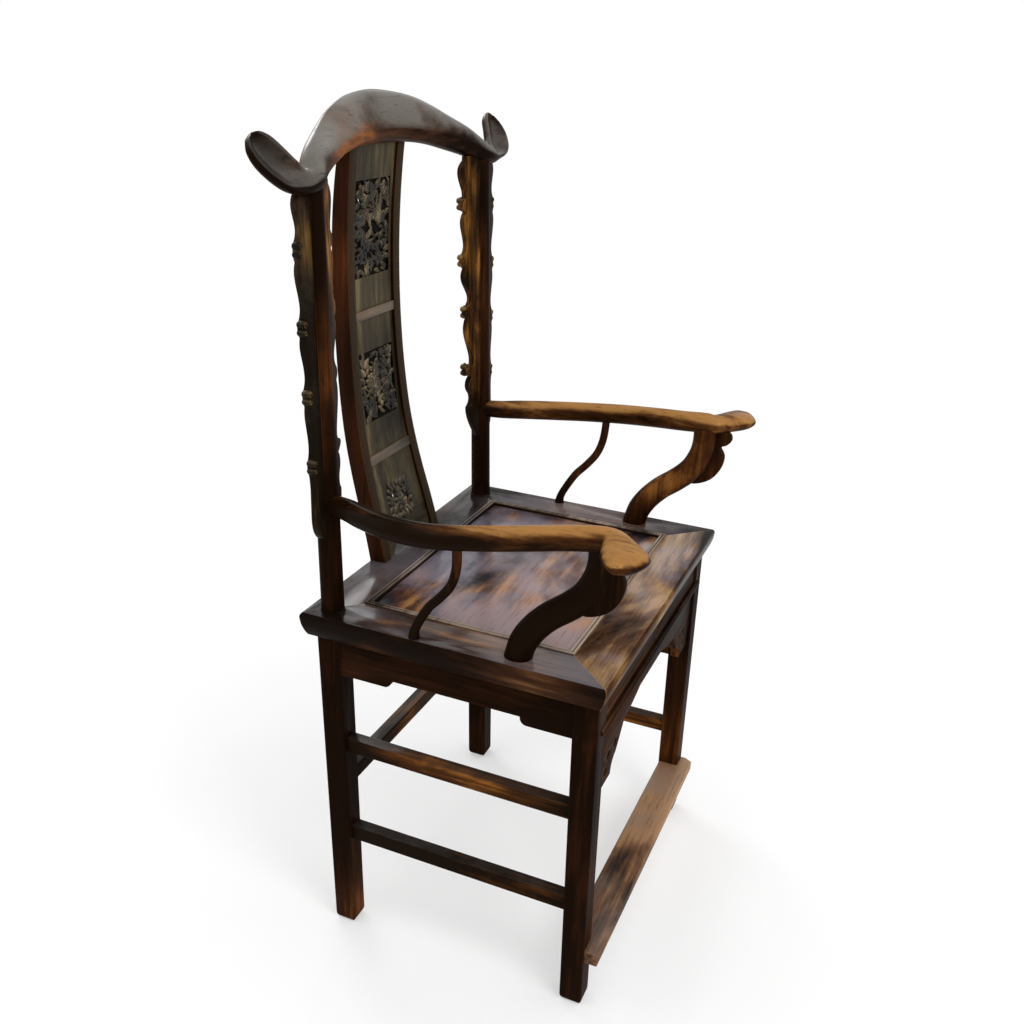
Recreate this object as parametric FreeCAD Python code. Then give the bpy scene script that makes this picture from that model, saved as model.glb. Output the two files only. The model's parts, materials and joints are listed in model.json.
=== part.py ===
import FreeCAD, Part
import math
import os

# Yoke-back armchair of dark lacquered hardwood. Millimetres, +Z up, front towards -Y.
# The sitter's right hand is on the -X side. Nothing on the chair moves.

V = FreeCAD.Vector
X_AXIS = V(1, 0, 0)
Y_AXIS = V(0, 1, 0)
Z_AXIS = V(0, 0, 1)
ORIGIN = V(0, 0, 0)

# Seat frame and panel
seat_width = 578.0
seat_depth = 442.0
seat_height = 530.0
frame_thickness = 35.0
frame_flat_width = 65.0
frame_edge_recess = 8.0
frame_edge_bulge_drop = 8.0
frame_arris = 3.0
bead_width = 5.0
bead_rise = 1.8
mitre_tenon_width = 13.0
mitre_tenon_thickness = 11.0
mitre_tenon_length = 44.0
panel_drop = 2.5
panel_thickness = 14.0
panel_tongue = 7.0
panel_tongue_thickness = 6.0
batten_half_spread = 96.0
batten_width = 34.0
batten_depth = 15.0
batten_tenon = 16.0

# Rear legs, which run on as the back posts, and front legs
rear_foot_side_inset = 41.7
rear_foot_back_inset = 55.0
post_side_inset = 36.0
post_top_back_inset = 7.7
post_top_height = 1100.0
post_foot_radius = 16.3
post_top_radius = 14.8
post_tenon_radius = 8.5
post_seam_degrees = 135.0
post_tenon_length = 12.0
front_foot_side_inset = 41.6
front_foot_front_inset = 20.2
front_top_side_inset = 34.4
front_top_front_inset = 29.6
front_tenon_side = 17.0
front_tenon_length = 24.0
foot_square = 32.4
leg_top_square = 35.0
foot_chamfer = 2.5
leg_arris = 2.0

# Rails round the legs
stretcher_width = 21.0
stretcher_height = 22.5
upper_stretcher_height = 317.0
lower_stretcher_height = 165.5
back_stretcher_height = 248.0
stretcher_arris = 2.0
rail_tenon_width = 9.0
rail_tenon_height = 14.0
footrest_top = 98.5
footrest_thickness = 20.0
footrest_front_overhang = 19.0
footrest_end_overhang = 15.1
footrest_back_setback = 1.6
footrest_bevel_width = 11.0
footrest_bevel_drop = 5.0

# Boards under the seat frame
apron_thickness = 13.0
apron_setback = 2.5
side_apron_end_drop = 60.0
side_apron_middle_drop = 48.5
side_apron_front_step = 90.0
side_apron_rear_step = 98.0
apron_step_radius = 9.0
frieze_height = 46.0
frieze_groove_width = 3.0
frieze_groove_depth = 2.0
frieze_margin = 9.0
moulding_height = 8.0
moulding_rise = 7.0
front_apron_middle_drop = 29.0
front_apron_end_drop = 43.0
bracket_reach = 104.0
bracket_drop = 103.0

# Arms, with the carved end that turns outwards
arm_over_seat = 154.0
arm_rise = 33.0
arm_bow = 48.5
arm_radius = 15.6
arm_root_radius = 13.4
arm_front_inset = 31.0
arm_front_out = 10.0
arm_tenon_radius = 6.5
arm_tenon_length = 20.0
arm_post_tenon_rise = 6.0
paddle_out = 78.0
paddle_front = 72.0
paddle_half_height = 14.0

# Posts under the arms
gooseneck_foot_front_inset = 130.0
gooseneck_side_inset = 31.0
gooseneck_forward = 102.0
gooseneck_half_depth = 16.5
gooseneck_half_width = 15.6
gooseneck_top_half_width = 13.8
gooseneck_tenon_radius = 8.0
gooseneck_tenon_length = 24.0
gooseneck_entry = 9.0
ear_thickness = 10.0
ear_reach = 38.0
ear_drop = 90.0
ear_tongue = 5.0
mid_post_foot_back_inset = 171.0
mid_post_side_inset = 11.5
mid_post_forward = 66.5
mid_post_foot_radius = 8.0
mid_post_radius = 6.4
mid_post_tenon_radius = 4.2
mid_post_tenon_length = 20.0
mid_post_entry = 4.0

# Back splat
splat_foot_back_inset = 27.0
splat_lean = 68.5
splat_foot_half_width = 92.0
splat_waist_half_width = 77.6
splat_top_half_width = 80.0
stile_width = 20.0
stile_depth = 25.5
stile_top_depth = 19.0
splat_housing = 8.0
splat_head_entry = 2.0
splat_bar_height = 13.0
upper_bar_height = 353.0
lower_bar_height = 138.5
foot_bar_height = 42.0
splat_panel_recess = 4.5
splat_panel_thickness = 9.0
splat_panel_tongue = 6.0
splat_bar_recess = 0.8
splat_bar_depth = 18.0
splat_bar_tenon = 8.0
splat_bar_tenon_thickness = 8.0
foot_arch_half_width = 52.0
foot_arch_height = 27.0
carving_side_margin = 6.6
carving_foot_margin = 47.5
carving_head_margin = 49.5
carving_depth = 2.5
medallion_over_seat = 69.0
medallion_half_width = 29.0
medallion_half_height = 25.0

# Crest rail
crest_headrest_rise = 103.0
crest_half_height = 37.5
crest_half_depth = 21.0
crest_middle_behind_post = 53.7
crest_neck_before_post = 3.3
crest_neck_rise = 3.5
crest_neck_half_height = 15.5
crest_neck_half_depth = 17.5
crest_neck_beyond_post = 3.0
horn_reach = 90.0
horn_rise = 52.0
horn_back = 27.0
horn_half_width = 24.0
horn_half_thickness = 13.0

# Scalloped strips let into both sides of each back post
flange_thickness = 11.0
flange_foot_drop = 44.0
flange_top_drop = 4.0
outer_flange_reach = 24.0
inner_flange_reach = 38.0
inner_flange_swing = 17.0
flange_tongue = 4.0

overrun = 6.0
arc_fit = 0.25
chords_per_arc = 3

# Shares of the run, bow and rise of an arm, from the back post to its front
arm_path_shares = (
    (0.00, 0.00, 0.00), (0.09, 0.17, 0.01), (0.17, 0.46, 0.03), (0.30, 0.82, 0.08),
    (0.456, 1.00, 0.22), (0.62, 0.87, 0.46), (0.78, 0.585, 0.70), (0.90, 0.33, 0.87),
)
# Shares of the outward and forward reach of the arm's end: inner edge, outer edge, thickness
paddle_section_shares = (
    (-0.22, 0.33, 0.23, 0.08, 1.03), (0.06, 0.69, 0.37, 0.10, 0.96),
    (0.40, 1.00, 0.62, 0.17, 0.88), (0.76, 0.93, 0.85, 0.31, 0.70),
    (0.96, 0.70, 1.00, 0.48, 0.40), (1.01, 0.62, 1.02, 0.56, 0.15),
)
# Shares of the forward sweep and height of a gooseneck's middle line
gooseneck_path_shares = (
    (0.00, 0.00), (0.06, 0.12), (0.19, 0.24), (0.39, 0.36), (0.63, 0.465),
    (0.83, 0.575), (0.95, 0.70), (1.00, 0.82), (1.00, 1.00),
)
# Shares of the forward sweep and height of a mid post's middle line
mid_post_path_shares = (
    (0.00, 0.00), (0.05, 0.10), (0.34, 0.31), (0.60, 0.43), (0.84, 0.56), (0.96, 0.69),
    (1.00, 0.82), (1.00, 1.00),
)
# Pierced leaves of a carved board: shares of its half width and half height, length as a share
# of the half width, and slope as a share of a full turn
leaf_shares = (
    (0.17, 0.15, 0.44, 0.115), (0.17, -0.15, 0.44, -0.115), (0.66, 0.04, 0.40, 0.235),
    (0.56, 0.58, 0.50, 0.060), (0.60, -0.56, 0.50, -0.150), (0.20, 0.80, 0.36, -0.055),
    (0.20, -0.82, 0.36, 0.040),
)
medallion_leaf_shares = (
    (0.38, 0.36, 0.62, 0.110), (0.38, -0.36, 0.62, -0.110),
)
leaf_width_share = 0.40
# Shares of the ear board's reach and drop, from the arm down round its lobe
ear_nose_shares = ((1.05, -0.06), (1.17, 0.10), (0.86, 0.20))
ear_lobe_shares = ((0.86, 0.20), (1.00, 0.46), (0.62, 0.82))
ear_foot_shares = ((0.62, 0.82), (0.20, 1.00), (-0.25, 1.02))
# Shares of the back height and lean of the splat's front face
splat_curve_shares = (
    (0.00, 0.00), (0.12, 0.285), (0.25, 0.60), (0.38, 0.81), (0.58, 0.98), (0.78, 1.03),
    (1.00, 0.94),
)
splat_waist_height_share = 0.72
stile_depth_change_share = 0.80
# Shares of a section's half height and half depth, from its top round by the front. An arc runs
# through each three, so that every second point can be a crease
headrest_shares = (
    (1.00, -0.25), (0.30, 0.45), (-0.42, 1.00), (-0.84, 0.78),
    (-1.00, 0.00), (-0.72, -0.86), (-0.05, -1.00), (0.62, -0.78),
)
diagonal_share = math.sqrt(0.5)
round_shares = (
    (1.0, 0.0), (diagonal_share, diagonal_share), (0.0, 1.0), (-diagonal_share, diagonal_share),
    (-1.0, 0.0), (-diagonal_share, -diagonal_share), (0.0, -1.0), (diagonal_share, -diagonal_share),
)
scoop_shares = (
    (0.95, 0.45), (0.00, 0.08), (-0.95, 0.45), (-0.95, -0.20),
    (-0.70, -0.70), (0.00, -1.00), (0.70, -0.70), (0.98, -0.15),
)
# Crest stations out to the post: share of spread, share of bow, share of fall,
# share of the change in half height and half depth, share of headrest section
crest_station_shares = (
    (0.00, 0.00, 0.00, 0.00, 1.00), (0.24, 0.07, 0.04, 0.09, 1.00),
    (0.40, 0.21, 0.12, 0.19, 0.95), (0.55, 0.34, 0.26, 0.32, 0.80),
    (0.70, 0.51, 0.46, 0.48, 0.55), (0.84, 0.70, 0.66, 0.63, 0.30),
    (0.93, 0.85, 0.84, 0.80, 0.12), (1.00, 1.00, 1.00, 1.00, 0.00),
)
# Horn stations beyond the post: shares of reach, back sweep and rise, width, thickness, scoop
horn_station_shares = (
    (0.20, -0.12, -0.05, 0.63, 1.15, 0.15), (0.40, -0.08, 0.06, 0.78, 1.08, 0.55),
    (0.58, 0.06, 0.22, 0.95, 1.00, 0.90), (0.74, 0.28, 0.43, 1.00, 0.95, 1.00),
    (0.87, 0.60, 0.68, 0.86, 0.84, 1.00), (0.96, 0.86, 0.88, 0.50, 0.58, 0.80),
    (1.00, 1.00, 1.00, 0.20, 0.26, 0.30),
)
horn_lean = 32.0
# Shares of a flange's length and reach: each row is one lobe, between two nicks
outer_flange_lobe_shares = (
    ((0.00, 0.10), (0.03, 0.58), (0.08, 0.70), (0.16, 0.66), (0.205, 0.72)),
    ((0.205, 0.72), (0.23, 0.86), (0.255, 0.74)),
    ((0.255, 0.74), (0.30, 0.62), (0.37, 0.82), (0.41, 0.80)),
    ((0.41, 0.80), (0.435, 0.96), (0.46, 0.80)),
    ((0.46, 0.80), (0.50, 0.62), (0.57, 0.92), (0.605, 0.88)),
    ((0.605, 0.88), (0.63, 1.06), (0.655, 0.88)),
    ((0.655, 0.88), (0.685, 0.72), (0.74, 0.94), (0.81, 0.96)),
    ((0.81, 0.96), (0.84, 1.10), (0.865, 0.96)),
    ((0.865, 0.96), (0.90, 0.78), (0.94, 1.00), (1.00, 0.55)),
)
inner_flange_lobe_shares = (
    ((0.00, 0.08), (0.04, 0.34), (0.09, 0.60), (0.12, 0.64)),
    ((0.12, 0.64), (0.15, 0.44), (0.20, 0.66), (0.235, 0.47)),
    ((0.235, 0.47), (0.258, 0.86), (0.28, 0.40)),
    ((0.28, 0.40), (0.33, 0.48), (0.39, 0.74), (0.45, 0.66)),
    ((0.45, 0.66), (0.47, 0.84), (0.495, 0.66)),
    ((0.495, 0.66), (0.52, 0.50), (0.58, 0.84), (0.63, 0.80)),
    ((0.63, 0.80), (0.655, 1.00), (0.685, 0.84)),
    ((0.685, 0.84), (0.71, 0.74), (0.78, 0.92), (0.825, 0.76)),
    ((0.825, 0.76), (0.85, 1.02), (0.875, 0.80)),
    ((0.875, 0.80), (0.90, 0.84), (0.945, 1.05), (1.00, 0.78)),
)

# Places worked out from the sizes above
frame_bottom = seat_height - frame_thickness
half_width = seat_width / 2
half_depth = seat_depth / 2
rear_foot_half_spread = half_width - rear_foot_side_inset
rear_foot_y = half_depth - rear_foot_back_inset
post_half_spread = half_width - post_side_inset
post_top_y = half_depth - post_top_back_inset
front_foot_half_spread = half_width - front_foot_side_inset
front_foot_y = front_foot_front_inset - half_depth
footrest_half_length = front_foot_half_spread + footrest_end_overhang
front_top_half_spread = half_width - front_top_side_inset
front_top_y = front_top_front_inset - half_depth
arm_front_y = arm_front_inset - half_depth
gooseneck_half_spread = half_width - gooseneck_side_inset
gooseneck_foot_y = gooseneck_foot_front_inset - half_depth
mid_post_half_spread = half_width - mid_post_side_inset
mid_post_foot_y = half_depth - mid_post_foot_back_inset
splat_foot_y = half_depth - splat_foot_back_inset
crest_neck_half_spread = post_half_spread + crest_neck_beyond_post
crest_neck_y = post_top_y - crest_neck_before_post
crest_middle_y = post_top_y + crest_middle_behind_post
member_width = frame_flat_width + 2 * bead_width
panel_top = seat_height - panel_drop
panel_bottom = panel_top - panel_thickness
batten_bottom = panel_bottom - batten_depth
frieze_bottom = frame_bottom - frieze_height
moulding_bottom = frieze_bottom - moulding_height
arm_height = seat_height + arm_over_seat
crest_top = post_top_height + crest_headrest_rise
crest_neck_height = post_top_height + crest_neck_rise
splat_top = crest_top - 2 * crest_half_height + splat_head_entry
back_height = splat_top - seat_height
flange_foot_height = arm_height - flange_foot_drop
flange_top_height = post_top_height - flange_top_drop


def mirrored(shape):
    """The same piece for the other side of the chair."""
    return shape.mirror(ORIGIN, X_AXIS)


def block(low_x, high_x, low_y, high_y, low_z, high_z):
    """Box between its lowest and highest corner."""
    return Part.makeBox(high_x - low_x, high_y - low_y, high_z - low_z, V(low_x, low_y, low_z))


def polygon_face(points):
    """Flat face with straight edges."""
    return Part.Face(Part.makePolygon(points + points[:1]))


def smooth_edges(points):
    """Edges along a smooth curve through the points, as arcs that fit it."""
    curve = Part.BSplineCurve()
    curve.interpolate(points)
    return [piece.toShape() for piece in curve.toBiArcs(arc_fit)]


def face_from_edges(edges):
    """Flat face inside a closed run of edges."""
    return Part.Face(Part.Wire(Part.__sortEdges__(edges)))


def line(start, end):
    """Straight edge."""
    return Part.LineSegment(start, end).toShape()


def arc(start, middle, end):
    """Edge along an arc through three points."""
    return Part.Arc(start, middle, end).toShape()


def section(centre, first_axis, second_axis, first_half, second_half, shares):
    """Closed section through points given as shares of its two half sizes.

    An arc through each three points is cut into a few chords, which keeps the rails light.
    """
    points = [centre + first_axis * (first_half * first) + second_axis * (second_half * second)
              for first, second in shares]
    points.append(points[0])
    corners = []
    for index in range(0, len(shares), 2):
        curve = arc(*points[index:index + 3])
        corners += curve.discretize(chords_per_arc + 1)[:-1]
    return Part.makePolygon(corners + corners[:1])


def rail(sections):
    """Solid swept through sections, straight from each to the next."""
    return Part.makeLoft(sections, True, True)


def blended(first_shares, second_shares, weight):
    """Section between two others: weight 0 is the first, 1 the second."""
    return [(a + (c - a) * weight, b + (d - b) * weight)
            for (a, b), (c, d) in zip(first_shares, second_shares)]


def tangents(points):
    """Direction of a smooth curve through the points, at each of them."""
    curve = Part.BSplineCurve()
    curve.interpolate(points)
    directions = []
    for point in points:
        direction = curve.tangent(curve.parameter(point))[0]
        directions.append(direction.normalize())
    return directions


def rectangle(centre, first_axis, second_axis, first_size, second_size):
    """Corners of a rectangle about its centre, in order round it."""
    first = first_axis * (first_size / 2)
    second = second_axis * (second_size / 2)
    return [centre - first - second, centre + first - second, centre + first + second,
            centre - first + second]


def flat_sided(rings):
    """Solid with flat sides through rings of corners, one above or beyond the other."""
    first, second, third = rings[0][:3]
    if (second - first).cross(third - second).dot(rings[-1][0] - first) < 0:
        rings = [ring[::-1] for ring in rings]
    faces = [polygon_face(rings[0][::-1]), polygon_face(rings[-1])]
    for low, high in zip(rings, rings[1:]):
        for index in range(len(low)):
            after = (index + 1) % len(low)
            faces.append(polygon_face([low[index], low[after], high[after], high[index]]))
    return Part.Solid(Part.Shell(faces))


def square_timber(stations):
    """Upright timber through level squares: centre x, centre y, height, side."""
    return flat_sided([rectangle(V(centre_x, centre_y, height), X_AXIS, Y_AXIS, side, side)
                       for centre_x, centre_y, height, side in stations])


def bar(start, end, across, width, height):
    """Straight bar from start to end, with one size across it and one upright."""
    return flat_sided([rectangle(centre, across, Z_AXIS, width, height)
                       for centre in (start, end)])


def largest(shape):
    """The largest solid of a cut piece, which drops any offcut beyond a shoulder."""
    return max(shape.Solids, key=lambda solid: solid.Volume)


def rear_centre(height):
    """Centre of the right way up rear timber on the +X side: leg below, post above."""
    share = min(height / frame_bottom, 1)
    centre_x = rear_foot_half_spread + (post_half_spread - rear_foot_half_spread) * share
    centre_y = rear_foot_y + (post_top_y - rear_foot_y) * height / post_top_height
    return V(centre_x, centre_y, height)


def front_centre(height):
    """Centre of the front leg on the +X side."""
    share = height / frame_bottom
    centre_x = front_foot_half_spread + (front_top_half_spread - front_foot_half_spread) * share
    centre_y = front_foot_y + (front_top_y - front_foot_y) * share
    return V(centre_x, centre_y, height)


def leg_side(height):
    """Side of a leg's square at a height."""
    return foot_square + (leg_top_square - foot_square) * height / frame_bottom


def square_leg(centre_at):
    """Tapered square leg up to the seat frame, with eased arrises and foot."""
    stations = []
    foot = centre_at(0)
    stations.append((foot.x, foot.y, 0, foot_square - 2 * foot_chamfer))
    for height in (foot_chamfer, frame_bottom):
        centre = centre_at(height)
        stations.append((centre.x, centre.y, height, leg_side(height)))
    leg = square_timber(stations)
    uprights = [edge for edge in leg.Edges
                if edge.BoundBox.ZLength > frame_bottom / 2]
    return leg.makeFillet(leg_arris, uprights)


def post_cone(start_height, end_height, start_radius, end_radius):
    """Round timber along the back post's own line, its seam turned clear of every groove."""
    start = rear_centre(start_height)
    along = rear_centre(end_height) - start
    cone = Part.makeCone(start_radius, end_radius, along.Length, start, along)
    cone.rotate(start, along, post_seam_degrees)
    return cone


def post_radius(height):
    """Radius of the back post at a height."""
    share = (height - frame_bottom) / (post_top_height - frame_bottom)
    return post_foot_radius + (post_top_radius - post_foot_radius) * share


def make_rear_leg():
    """Rear leg and back post in one timber, with a round tenon for the crest rail."""
    leg = square_leg(rear_centre)
    post = post_cone(frame_bottom - overrun, post_top_height, post_foot_radius, post_top_radius)
    start = rear_centre(post_top_height - overrun)
    along = rear_centre(post_top_height + post_tenon_length) - start
    tenon = Part.makeCylinder(post_tenon_radius, along.Length, start, along)
    return leg.fuse(post), tenon


def make_front_leg():
    """Front leg with a square tenon for the corner of the seat frame."""
    leg = square_leg(front_centre)
    start = front_centre(frame_bottom - overrun)
    end = front_centre(frame_bottom + front_tenon_length)
    tenon = square_timber([(start.x, start.y, start.z, front_tenon_side),
                           (end.x, end.y, end.z, front_tenon_side)])
    return leg.fuse(tenon)


def frame_profile(reach):
    """Section of a seat frame member, its outer edge bulging at the given reach."""
    inner = reach - member_width
    flat_start = inner + 2 * bead_width
    bulge_height = seat_height - frame_edge_bulge_drop
    foot = V(reach - frame_edge_recess, 0, frame_bottom)
    bulge = V(reach, 0, bulge_height)
    shoulder = V(reach - frame_arris, 0, seat_height)
    hollow_share = 0.3
    hollow = V(reach - frame_edge_recess * hollow_share, 0, (frame_bottom + bulge_height) / 2)
    turn_share = 0.2
    turn = V(reach - frame_arris * turn_share, 0, seat_height - frame_arris)
    edges = [line(V(inner, 0, frame_bottom), foot), arc(foot, hollow, bulge),
             arc(bulge, turn, shoulder), line(shoulder, V(flat_start, 0, seat_height))]
    for index in (1, 0):
        start = V(inner + index * bead_width, 0, seat_height)
        end = start + X_AXIS * bead_width
        crown = (start + end) * 0.5 + Z_AXIS * bead_rise
        edges.append(arc(end, crown, start))
    edges.append(line(V(inner, 0, seat_height), V(inner, 0, frame_bottom)))
    return Part.Face(Part.Wire(edges))


def frame_member(reach, length):
    """Mitred frame member on the +X side, running along Y."""
    half_length = length / 2
    inner = reach - member_width
    prism = frame_profile(reach).extrude(Y_AXIS * length)
    prism.translate(Y_AXIS * -half_length)
    inner_half = half_length - member_width
    plan = polygon_face([V(inner, -inner_half, 0), V(reach + overrun, -half_length - overrun, 0),
                         V(reach + overrun, half_length + overrun, 0), V(inner, inner_half, 0)])
    mitres = plan.extrude(Z_AXIS * (seat_height + overrun))
    return prism.common(mitres)


def turned(shape, degrees):
    """The piece turned about the upright line through the middle of the seat."""
    copy = shape.copy()
    copy.rotate(ORIGIN, Z_AXIS, degrees)
    return copy


def mitre_tenon(side_sign, end_sign):
    """Hidden tenon of a front or back member, which enters the side member."""
    inner = half_depth - member_width
    low_y = inner + bead_width / 2
    mitre_x = half_width - member_width
    middle = (frame_bottom + panel_bottom - mitre_tenon_thickness) / 2
    tenon = block(mitre_x, mitre_x + mitre_tenon_length, low_y, low_y + mitre_tenon_width,
                  middle, middle + mitre_tenon_thickness)
    if end_sign < 0:
        tenon = tenon.mirror(ORIGIN, Y_AXIS)
    if side_sign < 0:
        tenon = mirrored(tenon)
    return tenon


def make_seat_panel():
    """Floating seat board with a tongue all round."""
    open_x = half_width - member_width
    open_y = half_depth - member_width
    board = block(-open_x, open_x, -open_y, open_y, panel_bottom, panel_top)
    tongue_low = (panel_bottom + panel_top - panel_tongue_thickness) / 2
    tongue = block(-open_x - panel_tongue, open_x + panel_tongue, -open_y - panel_tongue,
                   open_y + panel_tongue, tongue_low, tongue_low + panel_tongue_thickness)
    return board.fuse(tongue)


def make_batten(side_sign):
    """Batten across the underside of the seat board, tenoned to the front and back members."""
    open_y = half_depth - member_width
    centre = side_sign * batten_half_spread
    half = batten_width / 2
    body = block(centre - half, centre + half, -open_y, open_y, batten_bottom, panel_bottom)
    cheek = batten_width / 4
    lip = batten_depth / 4
    tenon = block(centre - cheek, centre + cheek, -open_y - batten_tenon, open_y + batten_tenon,
                  batten_bottom + lip, panel_bottom - lip)
    return body.fuse(tenon)


def stretcher_pair(start, end, across):
    """Body of a stretcher and the thinner core whose ends are its tenons."""
    body = bar(start, end, across, stretcher_width, stretcher_height)
    length = (end - start).Length
    long_edges = [edge for edge in body.Edges if edge.Length > length / 2]
    body = body.makeFillet(stretcher_arris, long_edges)
    core = bar(start, end, across, rail_tenon_width, rail_tenon_height)
    return body, core


def footrest_board():
    """Footrest board before it is notched round the front legs, bevelled along its front."""
    middle = footrest_top - footrest_thickness / 2
    leg_front = front_centre(middle).y - leg_side(middle) / 2
    leg_back = front_centre(middle).y + leg_side(middle) / 2
    front = leg_front - footrest_front_overhang
    back = leg_back - footrest_back_setback
    bottom = footrest_top - footrest_thickness
    low_x = -footrest_half_length
    outline = [V(low_x, front, bottom), V(low_x, back, bottom), V(low_x, back, footrest_top),
               V(low_x, front + footrest_bevel_width, footrest_top),
               V(low_x, front, footrest_top - footrest_bevel_drop)]
    return polygon_face(outline).extrude(X_AXIS * (2 * footrest_half_length))


def footrest_core():
    """Tenons of the footrest, which enter the front legs."""
    middle = footrest_top - footrest_thickness / 2
    centre = front_centre(middle)
    return bar(V(-centre.x, centre.y, middle), V(centre.x, centre.y, middle), Y_AXIS,
               rail_tenon_height, rail_tenon_width)


def make_side_apron():
    """Shaped board under the +X side of the seat frame, before the legs are cut from it."""
    outer = rear_centre(frame_bottom).x + leg_side(frame_bottom) / 2 - apron_setback
    front = front_centre(frame_bottom).y
    rear = rear_centre(frame_bottom).y
    low = frame_bottom - side_apron_end_drop
    middle = frame_bottom - side_apron_middle_drop
    step_front = front + side_apron_front_step
    step_rear = rear - side_apron_rear_step
    inner = outer - apron_thickness
    radius = apron_step_radius
    bend = radius * (1 - math.sqrt(0.5))
    rise = middle - low
    edges = [
        line(V(inner, front, frame_bottom), V(inner, front, low)),
        line(V(inner, front, low), V(inner, step_front - radius, low)),
        arc(V(inner, step_front - radius, low),
            V(inner, step_front - bend, low + rise * (1 - math.sqrt(0.5))),
            V(inner, step_front, middle)),
        line(V(inner, step_front, middle), V(inner, step_rear, middle)),
        arc(V(inner, step_rear, middle),
            V(inner, step_rear + bend, low + rise * (1 - math.sqrt(0.5))),
            V(inner, step_rear + radius, low)),
        line(V(inner, step_rear + radius, low), V(inner, rear, low)),
        line(V(inner, rear, low), V(inner, rear, frame_bottom)),
        line(V(inner, rear, frame_bottom), V(inner, front, frame_bottom)),
    ]
    return Part.Face(Part.Wire(edges)).extrude(X_AXIS * apron_thickness)


def make_back_apron():
    """Plain board under the back of the seat frame, before the legs are cut from it."""
    centre = rear_centre(frame_bottom)
    outer = centre.y + leg_side(frame_bottom) / 2 - 2 * apron_setback
    return block(-centre.x, centre.x, outer - apron_thickness, outer,
                 frame_bottom - side_apron_middle_drop, frame_bottom)


def front_face_y():
    """Front face of the boards between the front legs."""
    return front_centre(frame_bottom).y - leg_side(frame_bottom) / 2 + apron_setback


def make_frieze():
    """Board under the front of the seat frame, with two long incised panels."""
    face = front_face_y()
    reach = front_centre(frame_bottom).x
    board = block(-reach, reach, face, face + apron_thickness, frieze_bottom, frame_bottom)
    inner = reach - leg_side(frame_bottom) / 2
    for sign in (-1, 1):
        low_x = min(sign * frieze_margin / 2, sign * (inner - frieze_margin))
        high_x = max(sign * frieze_margin / 2, sign * (inner - frieze_margin))
        low_z = frieze_bottom + frieze_margin
        high_z = frame_bottom - frieze_margin
        outer = block(low_x, high_x, face - overrun, face + frieze_groove_depth, low_z, high_z)
        wall = frieze_groove_width
        field = block(low_x + wall, high_x - wall, face - overrun, face + overrun,
                      low_z + wall, high_z - wall)
        board = board.cut(outer.cut(field))
    return board


def make_moulding():
    """Half-round rail under the frieze, standing proud of the boards."""
    face = front_face_y()
    reach = front_centre(moulding_bottom).x
    middle = (frieze_bottom + moulding_bottom) / 2
    back = face + apron_thickness
    edges = [line(V(-reach, back, moulding_bottom), V(-reach, face, moulding_bottom)),
             arc(V(-reach, face, moulding_bottom), V(-reach, face - moulding_rise, middle),
                 V(-reach, face, frieze_bottom)),
             line(V(-reach, face, frieze_bottom), V(-reach, back, frieze_bottom)),
             line(V(-reach, back, frieze_bottom), V(-reach, back, moulding_bottom))]
    return Part.Face(Part.Wire(edges)).extrude(X_AXIS * (2 * reach))


def make_front_apron():
    """Board under the moulding, its lower edge falling in a shallow curve to both ends."""
    face = front_face_y()
    reach = front_centre(moulding_bottom).x
    joint = reach - leg_side(moulding_bottom) / 2 - bracket_reach
    middle = moulding_bottom - front_apron_middle_drop
    end = moulding_bottom - front_apron_end_drop
    flat_share = 0.45
    knee_share = 0.78
    edges = [line(V(reach, face, moulding_bottom), V(-reach, face, moulding_bottom))]
    for sign in (-1, 1):
        flat = V(sign * joint * flat_share, face, middle)
        knee = V(sign * joint * knee_share, face, middle - (middle - end) * knee_share)
        foot = V(sign * joint, face, end)
        edges += smooth_edges([flat, knee, foot])
        edges.append(line(foot, V(sign * reach, face, end)))
        edges.append(line(V(sign * reach, face, end), V(sign * reach, face, moulding_bottom)))
    edges.append(line(V(joint * flat_share, face, middle), V(-joint * flat_share, face, middle)))
    return face_from_edges(edges).extrude(Y_AXIS * apron_thickness)


def make_bracket():
    """Pierced scroll bracket in the +X corner under the front board."""
    face = front_face_y()
    top = moulding_bottom - front_apron_end_drop
    bottom = moulding_bottom - bracket_drop
    leg_x = front_centre(bottom).x
    inner = leg_x - leg_side(bottom) / 2 - bracket_reach
    reach = bracket_reach
    drop = top - bottom
    waist_share = 0.30
    hip_share = 0.42
    toe_share = 0.48
    edges = [line(V(inner, face, top), V(leg_x, face, top)),
             line(V(leg_x, face, top), V(leg_x, face, bottom)),
             line(V(leg_x, face, bottom), V(inner + reach * toe_share, face, bottom)),
             arc(V(inner + reach * toe_share, face, bottom),
                 V(inner + reach * hip_share, face, bottom + drop * waist_share),
                 V(inner + reach * waist_share, face, bottom + drop * hip_share)),
             arc(V(inner + reach * waist_share, face, bottom + drop * hip_share),
                 V(inner + reach * waist_share / 2, face, top - drop * waist_share),
                 V(inner, face, top))]
    board = Part.Face(Part.Wire(edges)).extrude(Y_AXIS * apron_thickness)
    scroll_shares = ((0.36, 0.72, 0.11), (0.64, 0.66, 0.12), (0.72, 0.28, 0.11))
    for out_share, up_share, radius_share in scroll_shares:
        centre = V(inner + reach * out_share, face - overrun, bottom + drop * up_share)
        hole = Part.makeCylinder(drop * radius_share, apron_thickness + 2 * overrun, centre,
                                 Y_AXIS)
        board = board.cut(hole)
    return board


def arm_path():
    """Middle line of the +X arm, from inside the back post to its front."""
    start = rear_centre(arm_height)
    front_x = start.x + arm_front_out
    points = []
    for run_share, bow_share, rise_share in arm_path_shares:
        points.append(V(start.x + arm_bow * bow_share,
                        start.y + (arm_front_y - start.y) * run_share,
                        arm_height + arm_rise * rise_share))
    points.append(V(front_x, arm_front_y, arm_height + arm_rise))
    return points


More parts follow.
